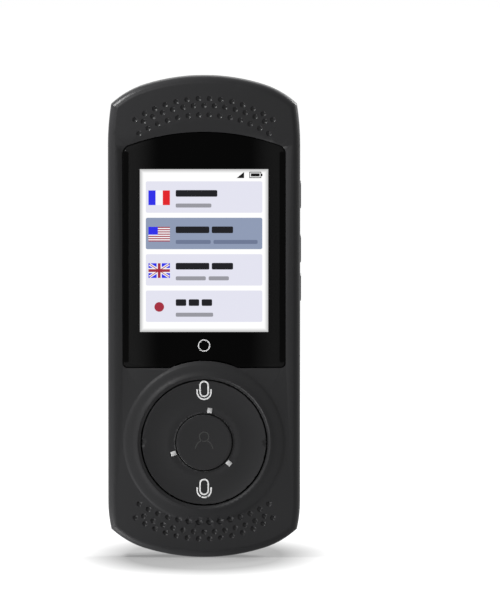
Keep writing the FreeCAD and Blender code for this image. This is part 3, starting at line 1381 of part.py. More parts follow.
def make_all():
    make_front_cover()
    make_rear_cover()
    make_inlay_and_badge()
    make_display()
    make_rocker()
    make_middle_key()
    make_retainer()
    make_board()
    make_switches()
    make_side_keys()
    make_shields()
    make_microphones()
    make_battery()
    make_speakers()
    make_antennas()
    make_socket()
    make_tray()


def write_all():
    """Checks every object and writes each finished piece to its own file."""
    DOC.recompute()
    failed = [item.Name for item in DOC.Objects if {"Invalid", "Error"} & set(item.State)]
    if failed:
        raise ValueError(f"these objects failed: {failed}")
    os.makedirs("parts", exist_ok=True)
    for item in NODES:
        if item.Shape.isNull() or not item.Shape.isValid() or not item.Shape.Solids:
            raise ValueError(f"{item.Label} has no valid shape")
    for item in NODES:
        item.Shape.exportStep(f"parts/{item.Label}.step")
        print(f"{item.Label}: {len(item.Shape.Solids)} solids, {item.Shape.Volume:.1f} cubic mm")


make_all()
write_all()
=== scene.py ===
"""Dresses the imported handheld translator: moulded shells, black window with its lit picture, talk rocker,
keys, back inlay and inner parts, and a pale stage. Lengths are metres, in the frame's own axes: the display
faces -Y and the long side runs up Z."""

import math

import bpy
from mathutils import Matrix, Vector


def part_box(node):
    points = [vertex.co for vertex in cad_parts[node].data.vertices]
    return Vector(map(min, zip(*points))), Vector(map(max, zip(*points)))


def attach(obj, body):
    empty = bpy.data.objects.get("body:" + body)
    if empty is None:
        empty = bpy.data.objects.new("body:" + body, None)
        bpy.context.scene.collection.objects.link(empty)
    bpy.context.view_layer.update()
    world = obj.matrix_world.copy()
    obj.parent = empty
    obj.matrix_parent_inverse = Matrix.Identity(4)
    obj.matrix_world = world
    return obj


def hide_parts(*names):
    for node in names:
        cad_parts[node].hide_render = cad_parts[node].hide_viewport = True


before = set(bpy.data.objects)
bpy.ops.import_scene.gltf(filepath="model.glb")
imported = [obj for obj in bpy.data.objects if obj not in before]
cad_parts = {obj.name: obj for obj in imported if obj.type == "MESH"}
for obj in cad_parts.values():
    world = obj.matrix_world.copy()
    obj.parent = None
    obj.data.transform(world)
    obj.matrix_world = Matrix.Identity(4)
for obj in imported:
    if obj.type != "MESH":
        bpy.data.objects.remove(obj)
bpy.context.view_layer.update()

bl_info = {
    "name": "Handheld translator dressing",
    "version": (1, 0, 0),
    "blender": (4, 2, 0),
    "location": "View3D > Sidebar > Translator",
    "description": "Models and finishes the pieces of a handheld translator",
    "category": "Object",
}

MM = 0.001


def linear(code):
    """An sRGB hex colour as linear red, green and blue."""
    parts = [int(code[i:i + 2], 16) / 255 for i in (1, 3, 5)]
    return tuple(p / 12.92 if p <= 0.04045 else ((p + 0.055) / 1.055) ** 2.4 for p in parts)


def low(node):
    """The low corner of a node's box."""
    return Vector(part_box(node)[0])


def high(node):
    """The high corner of a node's box."""
    return Vector(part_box(node)[1])


CASE_LENGTH = 138 * MM
GLASS_Y = low("display_window").y
ROCKER = (low("middle_key") + high("middle_key")) / 2
ROCKER_RIM_Y = low("talk_rocker").y
GLASS_STEP = 0.12 * MM
FACE_Y = GLASS_Y - GLASS_STEP
KEY_TOP_Y = low("middle_key").y
KEY_FLANGE_WIDTH = 1.05 * MM
KEY_ROUNDING = 0.2 * MM
BACK_Y = high("rear_inlay").y
BACK_BOW_RADIUS = 127.5 * MM
BACK_ROLL_RADIUS = 54 * MM
BACK_ROLL_LENGTH = 18 * MM

# The dimples stand in three rows on arcs at each end: count, half angle in degrees, and step inwards.
DIMPLE_ROWS = ((14, 34.2, 0.0), (13, 29.6, 2.0 * MM), (14, 32.0, 4.7 * MM))
DIMPLE_ARC_RADIUS = 35 * MM
UPPER_DIMPLE_DROP = 6.4 * MM
LOWER_DIMPLE_DROP = 5.4 * MM
DIMPLE_DEPTH = 0.42 * MM
# Coarse faces within this reach of a dimple's middle make way for its cup.
DIMPLE_RIM = 0.8 * MM
# One cup from its rim to its floor, as (radius, depth) in mm. Its rim laps over the face.
CUP_RINGS = ((0.84, 0.0), (0.79, 0.004), (0.7, 0.115), (0.59, 0.218), (0.44, 0.315), (0.23, 0.395))

# The thickness of a print or of a layer of the lit picture.
FILM = 0.02 * MM
# How many times coarser than its grain a surface's change of colour is, and about how wide in metres a wave
# texture's bands are at a scale of 1.
BROAD = 28
WAVE_BAND = 0.16
PICTURE_SIZE = (500, 600)
PIXELS_PER_METRE = 3487.0


# Sizes and colours that a user would change.

class TranslatorSizes(bpy.types.PropertyGroup):
    """Sizes of what is printed, lit or inlaid."""

    picture_width: bpy.props.FloatProperty(
        name="Picture width", description="Width of the lit picture", default=0.0367, unit="LENGTH")
    picture_low: bpy.props.FloatProperty(
        name="Picture foot", description="Height of the picture's lower edge", default=0.0648, unit="LENGTH")
    picture_high: bpy.props.FloatProperty(
        name="Picture head", description="Height of the picture's upper edge", default=0.1114, unit="LENGTH")
    card_width: bpy.props.FloatProperty(
        name="Card width", description="Width of one language card", default=0.0333, unit="LENGTH")
    card_height: bpy.props.FloatProperty(
        name="Card height", description="Height of one language card", default=0.009, unit="LENGTH")
    card_pitch: bpy.props.FloatProperty(
        name="Card pitch", description="Distance from one card to the next", default=0.01042, unit="LENGTH")
    first_card: bpy.props.FloatProperty(
        name="First card", description="Height of the first card's middle", default=0.10342, unit="LENGTH")
    mark_stroke: bpy.props.FloatProperty(
        name="Mark stroke", description="Line width of the talk marks", default=0.00042, unit="LENGTH")
    home_ring: bpy.props.FloatProperty(
        name="Home ring", description="Outer radius of the ring under the picture", default=0.00174, unit="LENGTH")
    border_strip: bpy.props.FloatProperty(
        name="Border strip", description="Width of the dark strips along the window's sides", default=0.0014,
        unit="LENGTH")
    groove_width: bpy.props.FloatProperty(
        name="Inlay groove", description="Width of the rounded edge round the back inlay", default=0.00012,
        unit="LENGTH")


class TranslatorColours(bpy.types.PropertyGroup):
    """Colours of the finishes."""

    shell: bpy.props.FloatVectorProperty(
        name="Shell", description="Moulded plastic of the shells", size=3, subtype="COLOR", default=linear("#1D1D1E"))
    ink: bpy.props.FloatVectorProperty(
        name="Ink", description="Ink of the talk marks", size=3, subtype="COLOR", default=linear("#D2D2D2"))
    card: bpy.props.FloatVectorProperty(
        name="Card", description="Plain language card", size=3, subtype="COLOR", default=linear("#E3E3F0"))
    chosen_card: bpy.props.FloatVectorProperty(
        name="Chosen card", description="Chosen language card", size=3, subtype="COLOR", default=linear("#8E9AB4"))
    plate: bpy.props.FloatVectorProperty(
        name="Plate", description="Metal of the back's plate", size=3, subtype="COLOR", default=linear("#686866"))


# Materials.

def add_node(tree, kind, settings=None, links=None):
    """Adds one shader node, sets its properties or sockets by name, and links its sockets."""
    item = tree.nodes.new(kind)
    for key, value in (settings or {}).items():
        if isinstance(key, int) or key in item.inputs:
            item.inputs[key].default_value = value
        else:
            setattr(item, key, value)
    for key, source in (links or {}).items():
        tree.links.new(source, item.inputs[key])
    return item


def maths(tree, operation, *values):
    """The outcome of a maths node on sockets or plain numbers."""
    item = add_node(tree, "ShaderNodeMath", {"operation": operation})
    for index, value in enumerate(values):
        if isinstance(value, bpy.types.NodeSocket):
            tree.links.new(value, item.inputs[index])
        else:
            item.inputs[index].default_value = value
    return item.outputs[0]


def blend(tree, factor, first, second, target):
    """Mixes two colours by a factor, into a socket."""
    mixed = add_node(tree, "ShaderNodeMix", {"data_type": "RGBA", 6: (*first, 1.0), 7: (*second, 1.0)}, {0: factor})
    tree.links.new(mixed.outputs[2], target)


def object_axes(tree):
    """Object coordinates in metres, as separate X, Y and Z."""
    place = add_node(tree, "ShaderNodeTexCoord")
    return add_node(tree, "ShaderNodeSeparateXYZ", None, {"Vector": place.outputs["Object"]}).outputs


def shows_background(tree):
    """1 for the rays that see the background straight, in a mirror or through glass, and 0 for those that light."""
    path = add_node(tree, "ShaderNodeLightPath").outputs
    mirrored = maths(tree, "MAXIMUM", path["Is Camera Ray"], path["Is Glossy Ray"])
    return maths(tree, "MAXIMUM", mirrored, path["Is Transmission Ray"])


def new_material(name, settings):
    """A material with its main shader's own sockets set. Returns the material, its tree and the shader."""
    material = bpy.data.materials.new(name)
    material.use_nodes = True
    tree = material.node_tree
    shader = tree.nodes["Principled BSDF"]
    for key, value in settings.items():
        shader.inputs[key].default_value = value
    return material, tree, shader


def object_coordinates(tree, stretch=(1.0, 1.0, 1.0)):
    """Object coordinates in metres, stretched so that a pattern can run along one direction."""
    place = add_node(tree, "ShaderNodeTexCoord")
    return add_node(tree, "ShaderNodeMapping", {"Scale": stretch}, {"Vector": place.outputs["Object"]}).outputs[0]


def speckled(tree, shader, size, first, second, depth, stretch=(1.0, 1.0, 1.0), roughness=None):
    """Varies the colour between two values and raises a grain, both with features of a real size in metres."""
    where = object_coordinates(tree, stretch)
    grain = add_node(tree, "ShaderNodeTexNoise", {"Scale": 1 / size, "Detail": 3.0}, {"Vector": where})
    broad = add_node(tree, "ShaderNodeTexNoise", {"Scale": 1 / (size * BROAD), "Detail": 2.0}, {"Vector": where})
    blend(tree, broad.outputs["Fac"], first, second, shader.inputs["Base Color"])
    bump = add_node(tree, "ShaderNodeBump", {"Strength": 1.0, "Distance": depth}, {"Height": grain.outputs["Fac"]})
    tree.links.new(bump.outputs["Normal"], shader.inputs["Normal"])
    if roughness:
        span = add_node(tree, "ShaderNodeMapRange", {"From Min": 0.3, "From Max": 0.7, "To Min": roughness[0],
                                                     "To Max": roughness[1]}, {"Value": grain.outputs["Fac"]})
        tree.links.new(span.outputs[0], shader.inputs["Roughness"])


def shade(colour, factor):
    return tuple(min(1.0, c * factor) for c in colour)


def spark_textured_abs(name, colour, sheen=0.36):
    """ABS moulded in a spark-eroded tool: an even black with a soft satin sheen. The real grain is about
    0.05 mm, too fine for the picture, and is drawn at 0.45 mm."""
    material, tree, shader = new_material(name, {"Roughness": sheen, "IOR": 1.53, "Specular IOR Level": 0.15})
    speckled(tree, shader, 0.45 * MM, shade(colour, 0.93), shade(colour, 1.07), 0.006 * MM,
             roughness=(sheen - 0.04, sheen + 0.05))
    return material


def polished_abs(name, colour):
    """ABS from a polished tool, which catches a sharper light than the textured shell round it."""
    material, tree, shader = new_material(name, {"Roughness": 0.22, "IOR": 1.53})
    speckled(tree, shader, 1.5 * MM, colour, shade(colour, 1.1), 0.001 * MM, roughness=(0.2, 0.26))
    return material


def black_backed_glass(name):
    """Chemically toughened glass, printed black behind: black in the middle, with a painted highlight that
    makes the base colour lighter towards both sides, where the glass would catch the light."""
    material, tree, shader = new_material(name, {"Roughness": 0.08, "IOR": 1.5, "Specular IOR Level": 0.03})
    reach = maths(tree, "ABSOLUTE", object_axes(tree)["X"])
    # Painted highlight: the base colour turns from black to dark grey towards both sides of the glass.
    side_highlight = add_node(tree, "ShaderNodeMapRange", {"From Min": 12.5 * MM, "From Max": 20.5 * MM,
                                                   "interpolation_type": "SMOOTHSTEP"}, {"Value": reach})
    blend(tree, side_highlight.outputs[0], linear("#000000"), linear("#151515"), shader.inputs["Base Color"])
    return material


def lit_pixels(name, colour, edge_shade=None):
    """A backlit colour display: the colour is its own light. With edge_shade, painted shade greys its edges."""
    material, tree, shader = new_material(name, {"Base Color": (0.0, 0.0, 0.0, 1.0), "Roughness": 0.35,
                                                 "Specular IOR Level": 0.1, "Emission Strength": 1.0,
                                                 "Emission Color": (*colour, 1.0)})
    if edge_shade:
        width, foot, head = edge_shade
        where = object_axes(tree)
        inside = maths(tree, "SUBTRACT", width / 2, maths(tree, "ABSOLUTE", where["X"]))
        above = maths(tree, "SUBTRACT", where["Z"], foot)
        below = maths(tree, "SUBTRACT", head, where["Z"])
        edge = maths(tree, "MINIMUM", inside, maths(tree, "MINIMUM", above, below))
        # Painted shade: the emitted colour turns grey within 1.3 mm of the picture's edges.
        span = add_node(tree, "ShaderNodeMapRange", {"From Min": 0.0, "From Max": 1.3 * MM,
                                                     "interpolation_type": "SMOOTHSTEP"}, {"Value": edge})
        blend(tree, span.outputs[0], linear("#C4C4C4"), colour, shader.inputs["Emission Color"])
    return material


def pad_printed_ink(name, colour):
    """Pad-printed ink: a thin even film, slightly glossier than the plastic under it."""
    material, tree, shader = new_material(name, {"Roughness": 0.4, "IOR": 1.5})
    speckled(tree, shader, 0.3 * MM, shade(colour, 0.95), colour, 0.002 * MM)
    return material


def satin_aluminium(name, colour):
    """Bead-blasted and anodised aluminium: grey, with a fine even sparkle and a broad soft highlight."""
    material, tree, shader = new_material(name, {"Metallic": 1.0, "Roughness": 0.42})
    speckled(tree, shader, 0.35 * MM, shade(colour, 0.9), shade(colour, 1.1), 0.004 * MM, roughness=(0.36, 0.5))
    return material


def clear_acrylic(name):
    """Moulded acrylic light guides with a frosted end, which glow pale."""
    material, tree, shader = new_material(name, {"Roughness": 0.2, "IOR": 1.49, "Emission Strength": 0.04,
                                                 "Emission Color": (*linear("#DADADA"), 1.0)})
    speckled(tree, shader, 0.4 * MM, linear("#8A8A8A"), linear("#B4B4B4"), 0.01 * MM)
    return material


def solder_mask(name):
    """Glass-epoxy board under green solder mask, with copper tracks that show through as paler lines."""
    material, tree, shader = new_material(name, {"Roughness": 0.32, "IOR": 1.52})
    where = object_coordinates(tree)
    tracks = add_node(tree, "ShaderNodeTexBrick", {"Scale": 1 / (6 * MM), "Mortar Size": 0.03,
                                                   "Brick Width": 0.6, "Row Height": 0.2,
                                                   "Color1": (*linear("#0E3A22"), 1.0),
                                                   "Color2": (*linear("#0B3320"), 1.0),
                                                   "Mortar": (*linear("#2C6B40"), 1.0)})
    turned = add_node(tree, "ShaderNodeVectorRotate", {"rotation_type": "X_AXIS", "Angle": math.pi / 2},
                      {"Vector": where})
    tree.links.new(turned.outputs[0], tracks.inputs["Vector"])
    tree.links.new(tracks.outputs["Color"], shader.inputs["Base Color"])
    return material


def tinned_steel(name):
    """Tin-plated spring steel, bright and slightly mottled from rolling."""
    material, tree, shader = new_material(name, {"Metallic": 1.0, "Roughness": 0.3})
    colour = linear("#B9BABC")
    speckled(tree, shader, 0.8 * MM, shade(colour, 0.88), colour, 0.002 * MM, stretch=(1.0, 1.0, 0.2),
             roughness=(0.24, 0.38))
    return material


def soft_rubber(name):
    """Silicone rubber and foam: black, dull and very slightly mottled."""
    material, tree, shader = new_material(name, {"Roughness": 0.8, "IOR": 1.41})
    colour = linear("#161616")
    speckled(tree, shader, 0.6 * MM, colour, shade(colour, 1.5), 0.02 * MM)
    return material


def woven_cloth(name):
    """Black acoustic mesh of 0.12 mm threads, drawn at 0.4 mm so that it shows."""
    material, tree, shader = new_material(name, {"Roughness": 0.85})
    where = object_coordinates(tree)
    bands = [add_node(tree, "ShaderNodeTexWave", {"wave_type": "BANDS", "bands_direction": way,
                                                  "Scale": WAVE_BAND / (0.4 * MM)}, {"Vector": where})
             for way in ("X", "Z")]
    weave = maths(tree, "MAXIMUM", bands[0].outputs["Fac"], bands[1].outputs["Fac"])
    blend(tree, weave, linear("#030303"), linear("#0E0E0E"), shader.inputs["Base Color"])
    return material


def aluminium_foil(name):
    """The laminated foil of a pouch cell: pale grey, matt, with faint creases."""
    material, tree, shader = new_material(name, {"Metallic": 0.8, "Roughness": 0.45})
    colour = linear("#9C9EA2")
    speckled(tree, shader, 3 * MM, shade(colour, 0.92), colour, 0.03 * MM)
    return material


# Modelling.

def clear_selection():
    """Leaves object mode with nothing selected."""
    if bpy.context.object and bpy.context.object.mode != "OBJECT":
        bpy.ops.object.mode_set(mode="OBJECT")
    bpy.ops.object.select_all(action="DESELECT")


def pick(obj):
    """Selects one object alone and makes it active."""
    clear_selection()
    bpy.context.view_layer.objects.active = obj
    obj.select_set(True)


def edit_all(obj):
    """Opens an object for editing, with all of its mesh selected."""
    pick(obj)
    bpy.ops.object.mode_set(mode="EDIT")
    bpy.ops.mesh.select_all(action="SELECT")


def settle(obj):
    """Puts an object's place, turn and scale into its mesh."""
    pick(obj)
    bpy.ops.object.transform_apply(location=True, rotation=True, scale=True)


def face_forwards(obj):
    """Turns all faces of an open sheet to the front, which is -Y."""
    edit_all(obj)
    bpy.ops.mesh.normals_make_consistent(inside=False)
    bpy.ops.object.mode_set(mode="OBJECT")
    if obj.data.polygons[0].normal.y > 0:
        bpy.ops.object.mode_set(mode="EDIT")
        bpy.ops.mesh.flip_normals()
        bpy.ops.object.mode_set(mode="OBJECT")


def finish_piece(obj, name, body, material):
    """Names a piece, settles its place into its mesh, gives it its finish and lets it ride on its body."""
    settle(obj)
    obj.name = name
    obj.data.name = name
    obj.data.materials.clear()
    obj.data.materials.append(material)
    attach(obj, body)


def apply_modifier(obj, kind, **settings):
    """Adds a modifier, sets it and applies it."""
    pick(obj)
    item = obj.modifiers.new(kind.title(), kind)
    for key, value in settings.items():
        setattr(item, key, value)
    bpy.ops.object.modifier_apply(modifier=item.name)


def smooth(obj, degrees):
    """Shades an object smooth, but for edges sharper than an angle."""
    pick(obj)
    bpy.ops.object.shade_smooth_by_angle(angle=math.radians(degrees))


def follow(mesh, surface_normal, degrees=8):
    """Turns the shading of each face that lies along a known surface to that surface's own normal."""
    limit = math.cos(math.radians(degrees))
    normals = [corner.vector.copy() for corner in mesh.corner_normals]
    for polygon in mesh.polygons:
        for loop in polygon.loop_indices:
            true = surface_normal(mesh.vertices[mesh.loops[loop].vertex_index].co)
            if true.dot(polygon.normal) > limit:
                normals[loop] = true
    mesh.normals_split_custom_set(normals)


def clear_faces(obj, test):
    """Takes away the faces whose centre passes a test."""
    pick(obj)
    bpy.context.tool_settings.mesh_select_mode = (False, False, True)
    obj.data.vertices.foreach_set("select", [False] * len(obj.data.vertices))
    obj.data.edges.foreach_set("select", [False] * len(obj.data.edges))
    for polygon in obj.data.polygons:
        polygon.select = test(polygon.center)
    bpy.ops.object.mode_set(mode="EDIT")
    bpy.ops.mesh.delete(type="FACE")
    bpy.ops.object.mode_set(mode="OBJECT")
    bpy.context.tool_settings.mesh_select_mode = (True, False, False)


def moulding(node, name, body, material, edge=0.0, degrees=28, surface_normal=None, gone=None):
    """A smooth skin over a node of the frame: its triangles are merged, its sharp edges are eased."""
    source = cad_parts[node]
    obj = bpy.data.objects.new(name, source.data.copy())
    bpy.context.scene.collection.objects.link(obj)
    obj.matrix_world = source.matrix_world.copy()
    edit_all(obj)
    bpy.ops.mesh.remove_doubles(threshold=0.002 * MM)
    bpy.ops.mesh.select_all(action="DESELECT")
    bpy.ops.object.mode_set(mode="OBJECT")
    obj.data.attributes.active = None
    if gone:
        clear_faces(obj, gone)
    if edge:
        apply_modifier(obj, "BEVEL", width=edge, segments=2, limit_method="ANGLE", angle_limit=math.radians(50),
                       use_clamp_overlap=True, harden_normals=False)
    smooth(obj, degrees)
    apply_modifier(obj, "WEIGHTED_NORMAL", mode="FACE_AREA", weight=100, keep_sharp=True)
    if surface_normal:
        follow(obj.data, surface_normal)
    finish_piece(obj, name, body, material)
    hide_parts(node)


def turned(profile, steps=128):
    """A ring extruded from point to point of a profile of (y, radius), about the rocker's own line."""
    clear_selection()
    y, radius = profile[0]
    bpy.ops.mesh.primitive_circle_add(vertices=steps, radius=radius, fill_type="NOTHING",
                                      location=(0.0, y, ROCKER.z), rotation=(math.pi / 2, 0.0, 0.0))
    obj = bpy.context.object
    settle(obj)
    edit_all(obj)
    for after_y, after_radius in profile[1:]:
        bpy.ops.mesh.extrude_edges_move(TRANSFORM_OT_translate={"value": (0.0, after_y - y, 0.0)})
        if after_radius <= 0:
            bpy.ops.mesh.merge(type="CENTER")
            break
        factor = after_radius / radius
        bpy.ops.transform.resize(value=(factor, 1.0, factor), center_override=(0.0, after_y, ROCKER.z))
        y, radius = after_y, after_radius
    bpy.ops.mesh.select_all(action="SELECT")
    bpy.ops.mesh.normals_make_consistent(inside=False)
    bpy.ops.object.mode_set(mode="OBJECT")
    return obj


def arc_points(start, stop, bulge, count):
    """Points (y, radius) from start to stop on an arc that bulges sideways, without the start."""
    chord = Vector(stop) - Vector(start)
    across = Vector((-chord.y, chord.x)).normalized()
    points = []
    for index in range(1, count + 1):
        t = index / count
        points.append(tuple(Vector(start) + chord * t + across * bulge * 4 * t * (1 - t)))
    return points


def tile(name, x, z, y, corner=0.0, thickness=FILM):
    """A thin flat tile between pairs of places, with rounded corners, its front at y."""
    clear_selection()
    size = (x[1] - x[0], thickness, z[1] - z[0])
    middle = ((x[0] + x[1]) / 2, y + thickness / 2, (z[0] + z[1]) / 2)
    bpy.ops.mesh.primitive_cube_add(size=1.0, location=middle, scale=size)
    obj = bpy.context.object
    obj.name = name
    settle(obj)
    if corner:
        bpy.ops.object.mode_set(mode="EDIT")
        bpy.ops.mesh.select_all(action="DESELECT")
        bpy.ops.mesh.select_mode(type="EDGE")
        bpy.ops.object.mode_set(mode="OBJECT")
        for edge in obj.data.edges:
            first, second = (obj.data.vertices[i].co for i in edge.vertices)
            edge.select = abs((second - first).normalized().y) > 0.99
        bpy.ops.object.mode_set(mode="EDIT")
        bpy.ops.mesh.bevel(offset=corner, segments=6, affect="EDGES")
        bpy.ops.object.mode_set(mode="OBJECT")
    return obj


def joined(objects, name):
    """Several meshes made into one."""
    clear_selection()
    for obj in objects:
        obj.select_set(True)
    bpy.context.view_layer.objects.active = objects[0]
    if len(objects) > 1:
        bpy.ops.object.join()
    objects[0].name = name
    return objects[0]


def spaced(points, count):
    """A path of (x, z) points walked in equal steps."""
    lengths = [0.0]
    for a, b in zip(points, points[1:]):
        lengths.append(lengths[-1] + math.dist(a, b))
    walked = []
    for index in range(count):
        want = lengths[-1] * index / (count - 1)
        at = max(i for i, length in enumerate(lengths[:-1]) if length <= want + 1e-12)
        t = (want - lengths[at]) / (lengths[at + 1] - lengths[at])
        a, b = points[at], points[at + 1]
        walked.append((a[0] + (b[0] - a[0]) * t, a[1] + (b[1] - a[1]) * t))
    return walked


def ribbon(name, points, width, surface, closed=False, steps=48):
    """A flat stroke along a path of (x, z) points, laid on a surface given as y for each place."""
    clear_selection()
    bpy.ops.mesh.primitive_grid_add(x_subdivisions=steps, y_subdivisions=1, size=1.0)
    obj = bpy.context.object
    obj.name = name
    rows = sorted(obj.data.vertices, key=lambda v: (round(v.co.y, 5), v.co.x))
    columns = len(rows) // 2
    path = spaced(points + [points[0]] if closed else points, columns)
    for index in range(columns):
        if closed:
            before, after = path[(index - 1) % (columns - 1)], path[(index + 1) % (columns - 1)]
        else:
            before, after = path[max(index - 1, 0)], path[min(index + 1, columns - 1)]
        way = Vector((after[0] - before[0], after[1] - before[1])).normalized()
        for vertex, side in ((rows[index], 0.5), (rows[index + columns], -0.5)):
            x = path[index][0] - way.y * width * side
            z = path[index][1] + way.x * width * side
            vertex.co = (x, surface(x, z) - FILM, z)
    edit_all(obj)
    bpy.ops.mesh.remove_doubles(threshold=0.001 * MM)
    bpy.ops.object.mode_set(mode="OBJECT")
    face_forwards(obj)
    apply_modifier(obj, "SOLIDIFY", thickness=FILM, offset=-1.0)
    return obj


def arc(x, z, radius, start, stop, count=24):
    """Points (x, z) on an arc, by degrees from +X."""
    return [(x + radius * math.cos(math.radians(start + (stop - start) * i / count)),
             z + radius * math.sin(math.radians(start + (stop - start) * i / count))) for i in range(count + 1)]


def sizes():
    return bpy.context.scene.translator_sizes


def colours():
    return bpy.context.scene.translator_colours


def dimple_places(end):
    """The dimples at the upper (1) or lower (-1) end, as (x, z), the outermost row first."""
    drop = UPPER_DIMPLE_DROP if end > 0 else LOWER_DIMPLE_DROP
    places = []
    for count, half_angle, step in DIMPLE_ROWS:
        crown = CASE_LENGTH - drop - step if end > 0 else drop + step
        for index in range(count):
            a = math.radians(half_angle * (2 * index / (count - 1) - 1))
            places.append((DIMPLE_ARC_RADIUS * math.sin(a), crown - end * DIMPLE_ARC_RADIUS * (1 - math.cos(a))))
    return places


def back_normal(point):
    """The outward direction of the bowed back, which rolls forwards at both ends."""
    near = min(max(point.z, BACK_ROLL_LENGTH), CASE_LENGTH - BACK_ROLL_LENGTH)
    y, z = point.y - (BACK_Y - BACK_ROLL_RADIUS), point.z - near
    reach = math.hypot(y, z)
    rise = reach - BACK_ROLL_RADIUS + BACK_BOW_RADIUS
    return Vector((point.x, rise * y / reach, rise * z / reach)).normalized()


def rocker_profile():
    """The rocker's dished top from the key's bore out to the rim, as (y, radius)."""
    bore = high("middle_key").x - 0.75 * MM
    moat = bore + 1.95 * MM
    rim = 17.85 * MM
    top = ROCKER_RIM_Y
    dish = top + 0.4 * MM
    points = [(dish + 0.23 * MM, bore), (dish, moat)]
    points += arc_points((dish, moat), (top, rim - 0.25 * MM), -0.23 * MM, 14)
    return points


def height_at(profile, reach, beyond):
    """The height y at a radius on a profile of (y, radius) that runs outwards, or a height beyond its ends."""
    for (y0, r0), (y1, r1) in zip(profile, profile[1:]):
        if r0 <= reach <= r1:
            return y0 + (y1 - y0) * (reach - r0) / (r1 - r0)
    return beyond


def rocker_surface(x, z):
    """The rocker's height at a place on its top."""
    return height_at(rocker_profile(), math.hypot(x, z - ROCKER.z), ROCKER_RIM_Y)


def key_profile():
    """The middle key's dished top, from its middle outwards, as (y, radius)."""
    edge = high("middle_key").x - KEY_FLANGE_WIDTH - KEY_ROUNDING
    depth = 0.15 * MM
    return [(KEY_TOP_Y + depth * (1 - (i / 12) ** 2), edge * i / 12) for i in range(13)]


def key_surface(x, z):
    """The middle key's height at a place on its top."""
    return height_at(key_profile(), math.hypot(x, z - ROCKER.z), KEY_TOP_Y)


# Operators.

class TRANSLATOR_OT_shells(bpy.types.Operator):
    """Skins the front and rear shells in textured plastic"""

    bl_idname = "translator.shells"
    bl_label = "Shells"

    def execute(self, context):
        shell = spark_textured_abs("Spark-textured ABS", tuple(colours().shell))
        places = dimple_places(1) + dimple_places(-1)

        def in_dimple(point):
            return FACE_Y + 0.004 * MM < point.y < FACE_Y + DIMPLE_DEPTH + 0.03 * MM and any(
                math.hypot(point.x - x, point.z - z) < DIMPLE_RIM for x, z in places)

        moulding("front_cover", "front_shell", "case", shell, gone=in_dimple)
        self.dimples(shell, places)
        moulding("rear_cover", "rear_shell", "case", shell, degrees=12,
                 surface_normal=back_normal)
        return {"FINISHED"}

    def dimples(self, shell, places):
        """Lines each dimple in the face with a smooth cup. One cup is modelled, and copied to each place."""
        face = FACE_Y - 0.003 * MM
        clear_selection()
        bpy.ops.mesh.primitive_circle_add(vertices=20, radius=CUP_RINGS[0][0] * MM, fill_type="NOTHING",
                                          location=(0, face, 0), rotation=(math.pi / 2, 0, 0))
        cup = bpy.context.object
        settle(cup)
        edit_all(cup)
        for (wide, deep), (narrow, deeper) in zip(CUP_RINGS, CUP_RINGS[1:]):
            bpy.ops.mesh.extrude_edges_move(TRANSFORM_OT_translate={"value": (0, (deeper - deep) * MM, 0)})
            factor = narrow / wide
            bpy.ops.transform.resize(value=(factor, 1, factor), center_override=(0, face + deeper * MM, 0))
        bpy.ops.mesh.edge_face_add()
        bpy.ops.object.mode_set(mode="OBJECT")
        face_forwards(cup)
        copies = []
        for x, z in places:
            copy = bpy.data.objects.new("cup", cup.data.copy())
            bpy.context.scene.collection.objects.link(copy)
            copy.location = (x, 0, z)
            copies.append(copy)
        bpy.data.objects.remove(cup)
        whole = joined(copies, "dimple_cups")
        settle(whole)
        smooth(whole, 40)
        finish_piece(whole, "dimple_cups", "case", shell)


class TRANSLATOR_OT_window(bpy.types.Operator):
    """Models the black window glass and the dark strips along its sides"""

    bl_idname = "translator.window"
    bl_label = "Window"

    def execute(self, context):
        glass = black_backed_glass("Toughened glass, printed black")
        moulding("display_window", "window_glass", "case", glass)
        strip_ink, tree, shader = new_material("Deep black glass print", {
            "Roughness": 0.12, "IOR": 1.5, "Specular IOR Level": 0.03})
        speckled(tree, shader, 1 * MM, linear("#020202"), linear("#040404"), 0.0005 * MM)
        half = high("display_window").x - 0.3 * MM
        foot, head = low("display_window").z + 1.6 * MM, 116.4 * MM
        strips = [tile("strip", tuple(sorted((side * half, side * (half - sizes().border_strip)))), (foot, head),
                       GLASS_Y - 0.01 * MM, corner=0.4 * MM, thickness=0.01 * MM) for side in (-1, 1)]
        finish_piece(joined(strips, "window_strips"), "window_strips", "case", strip_ink)
        return {"FINISHED"}


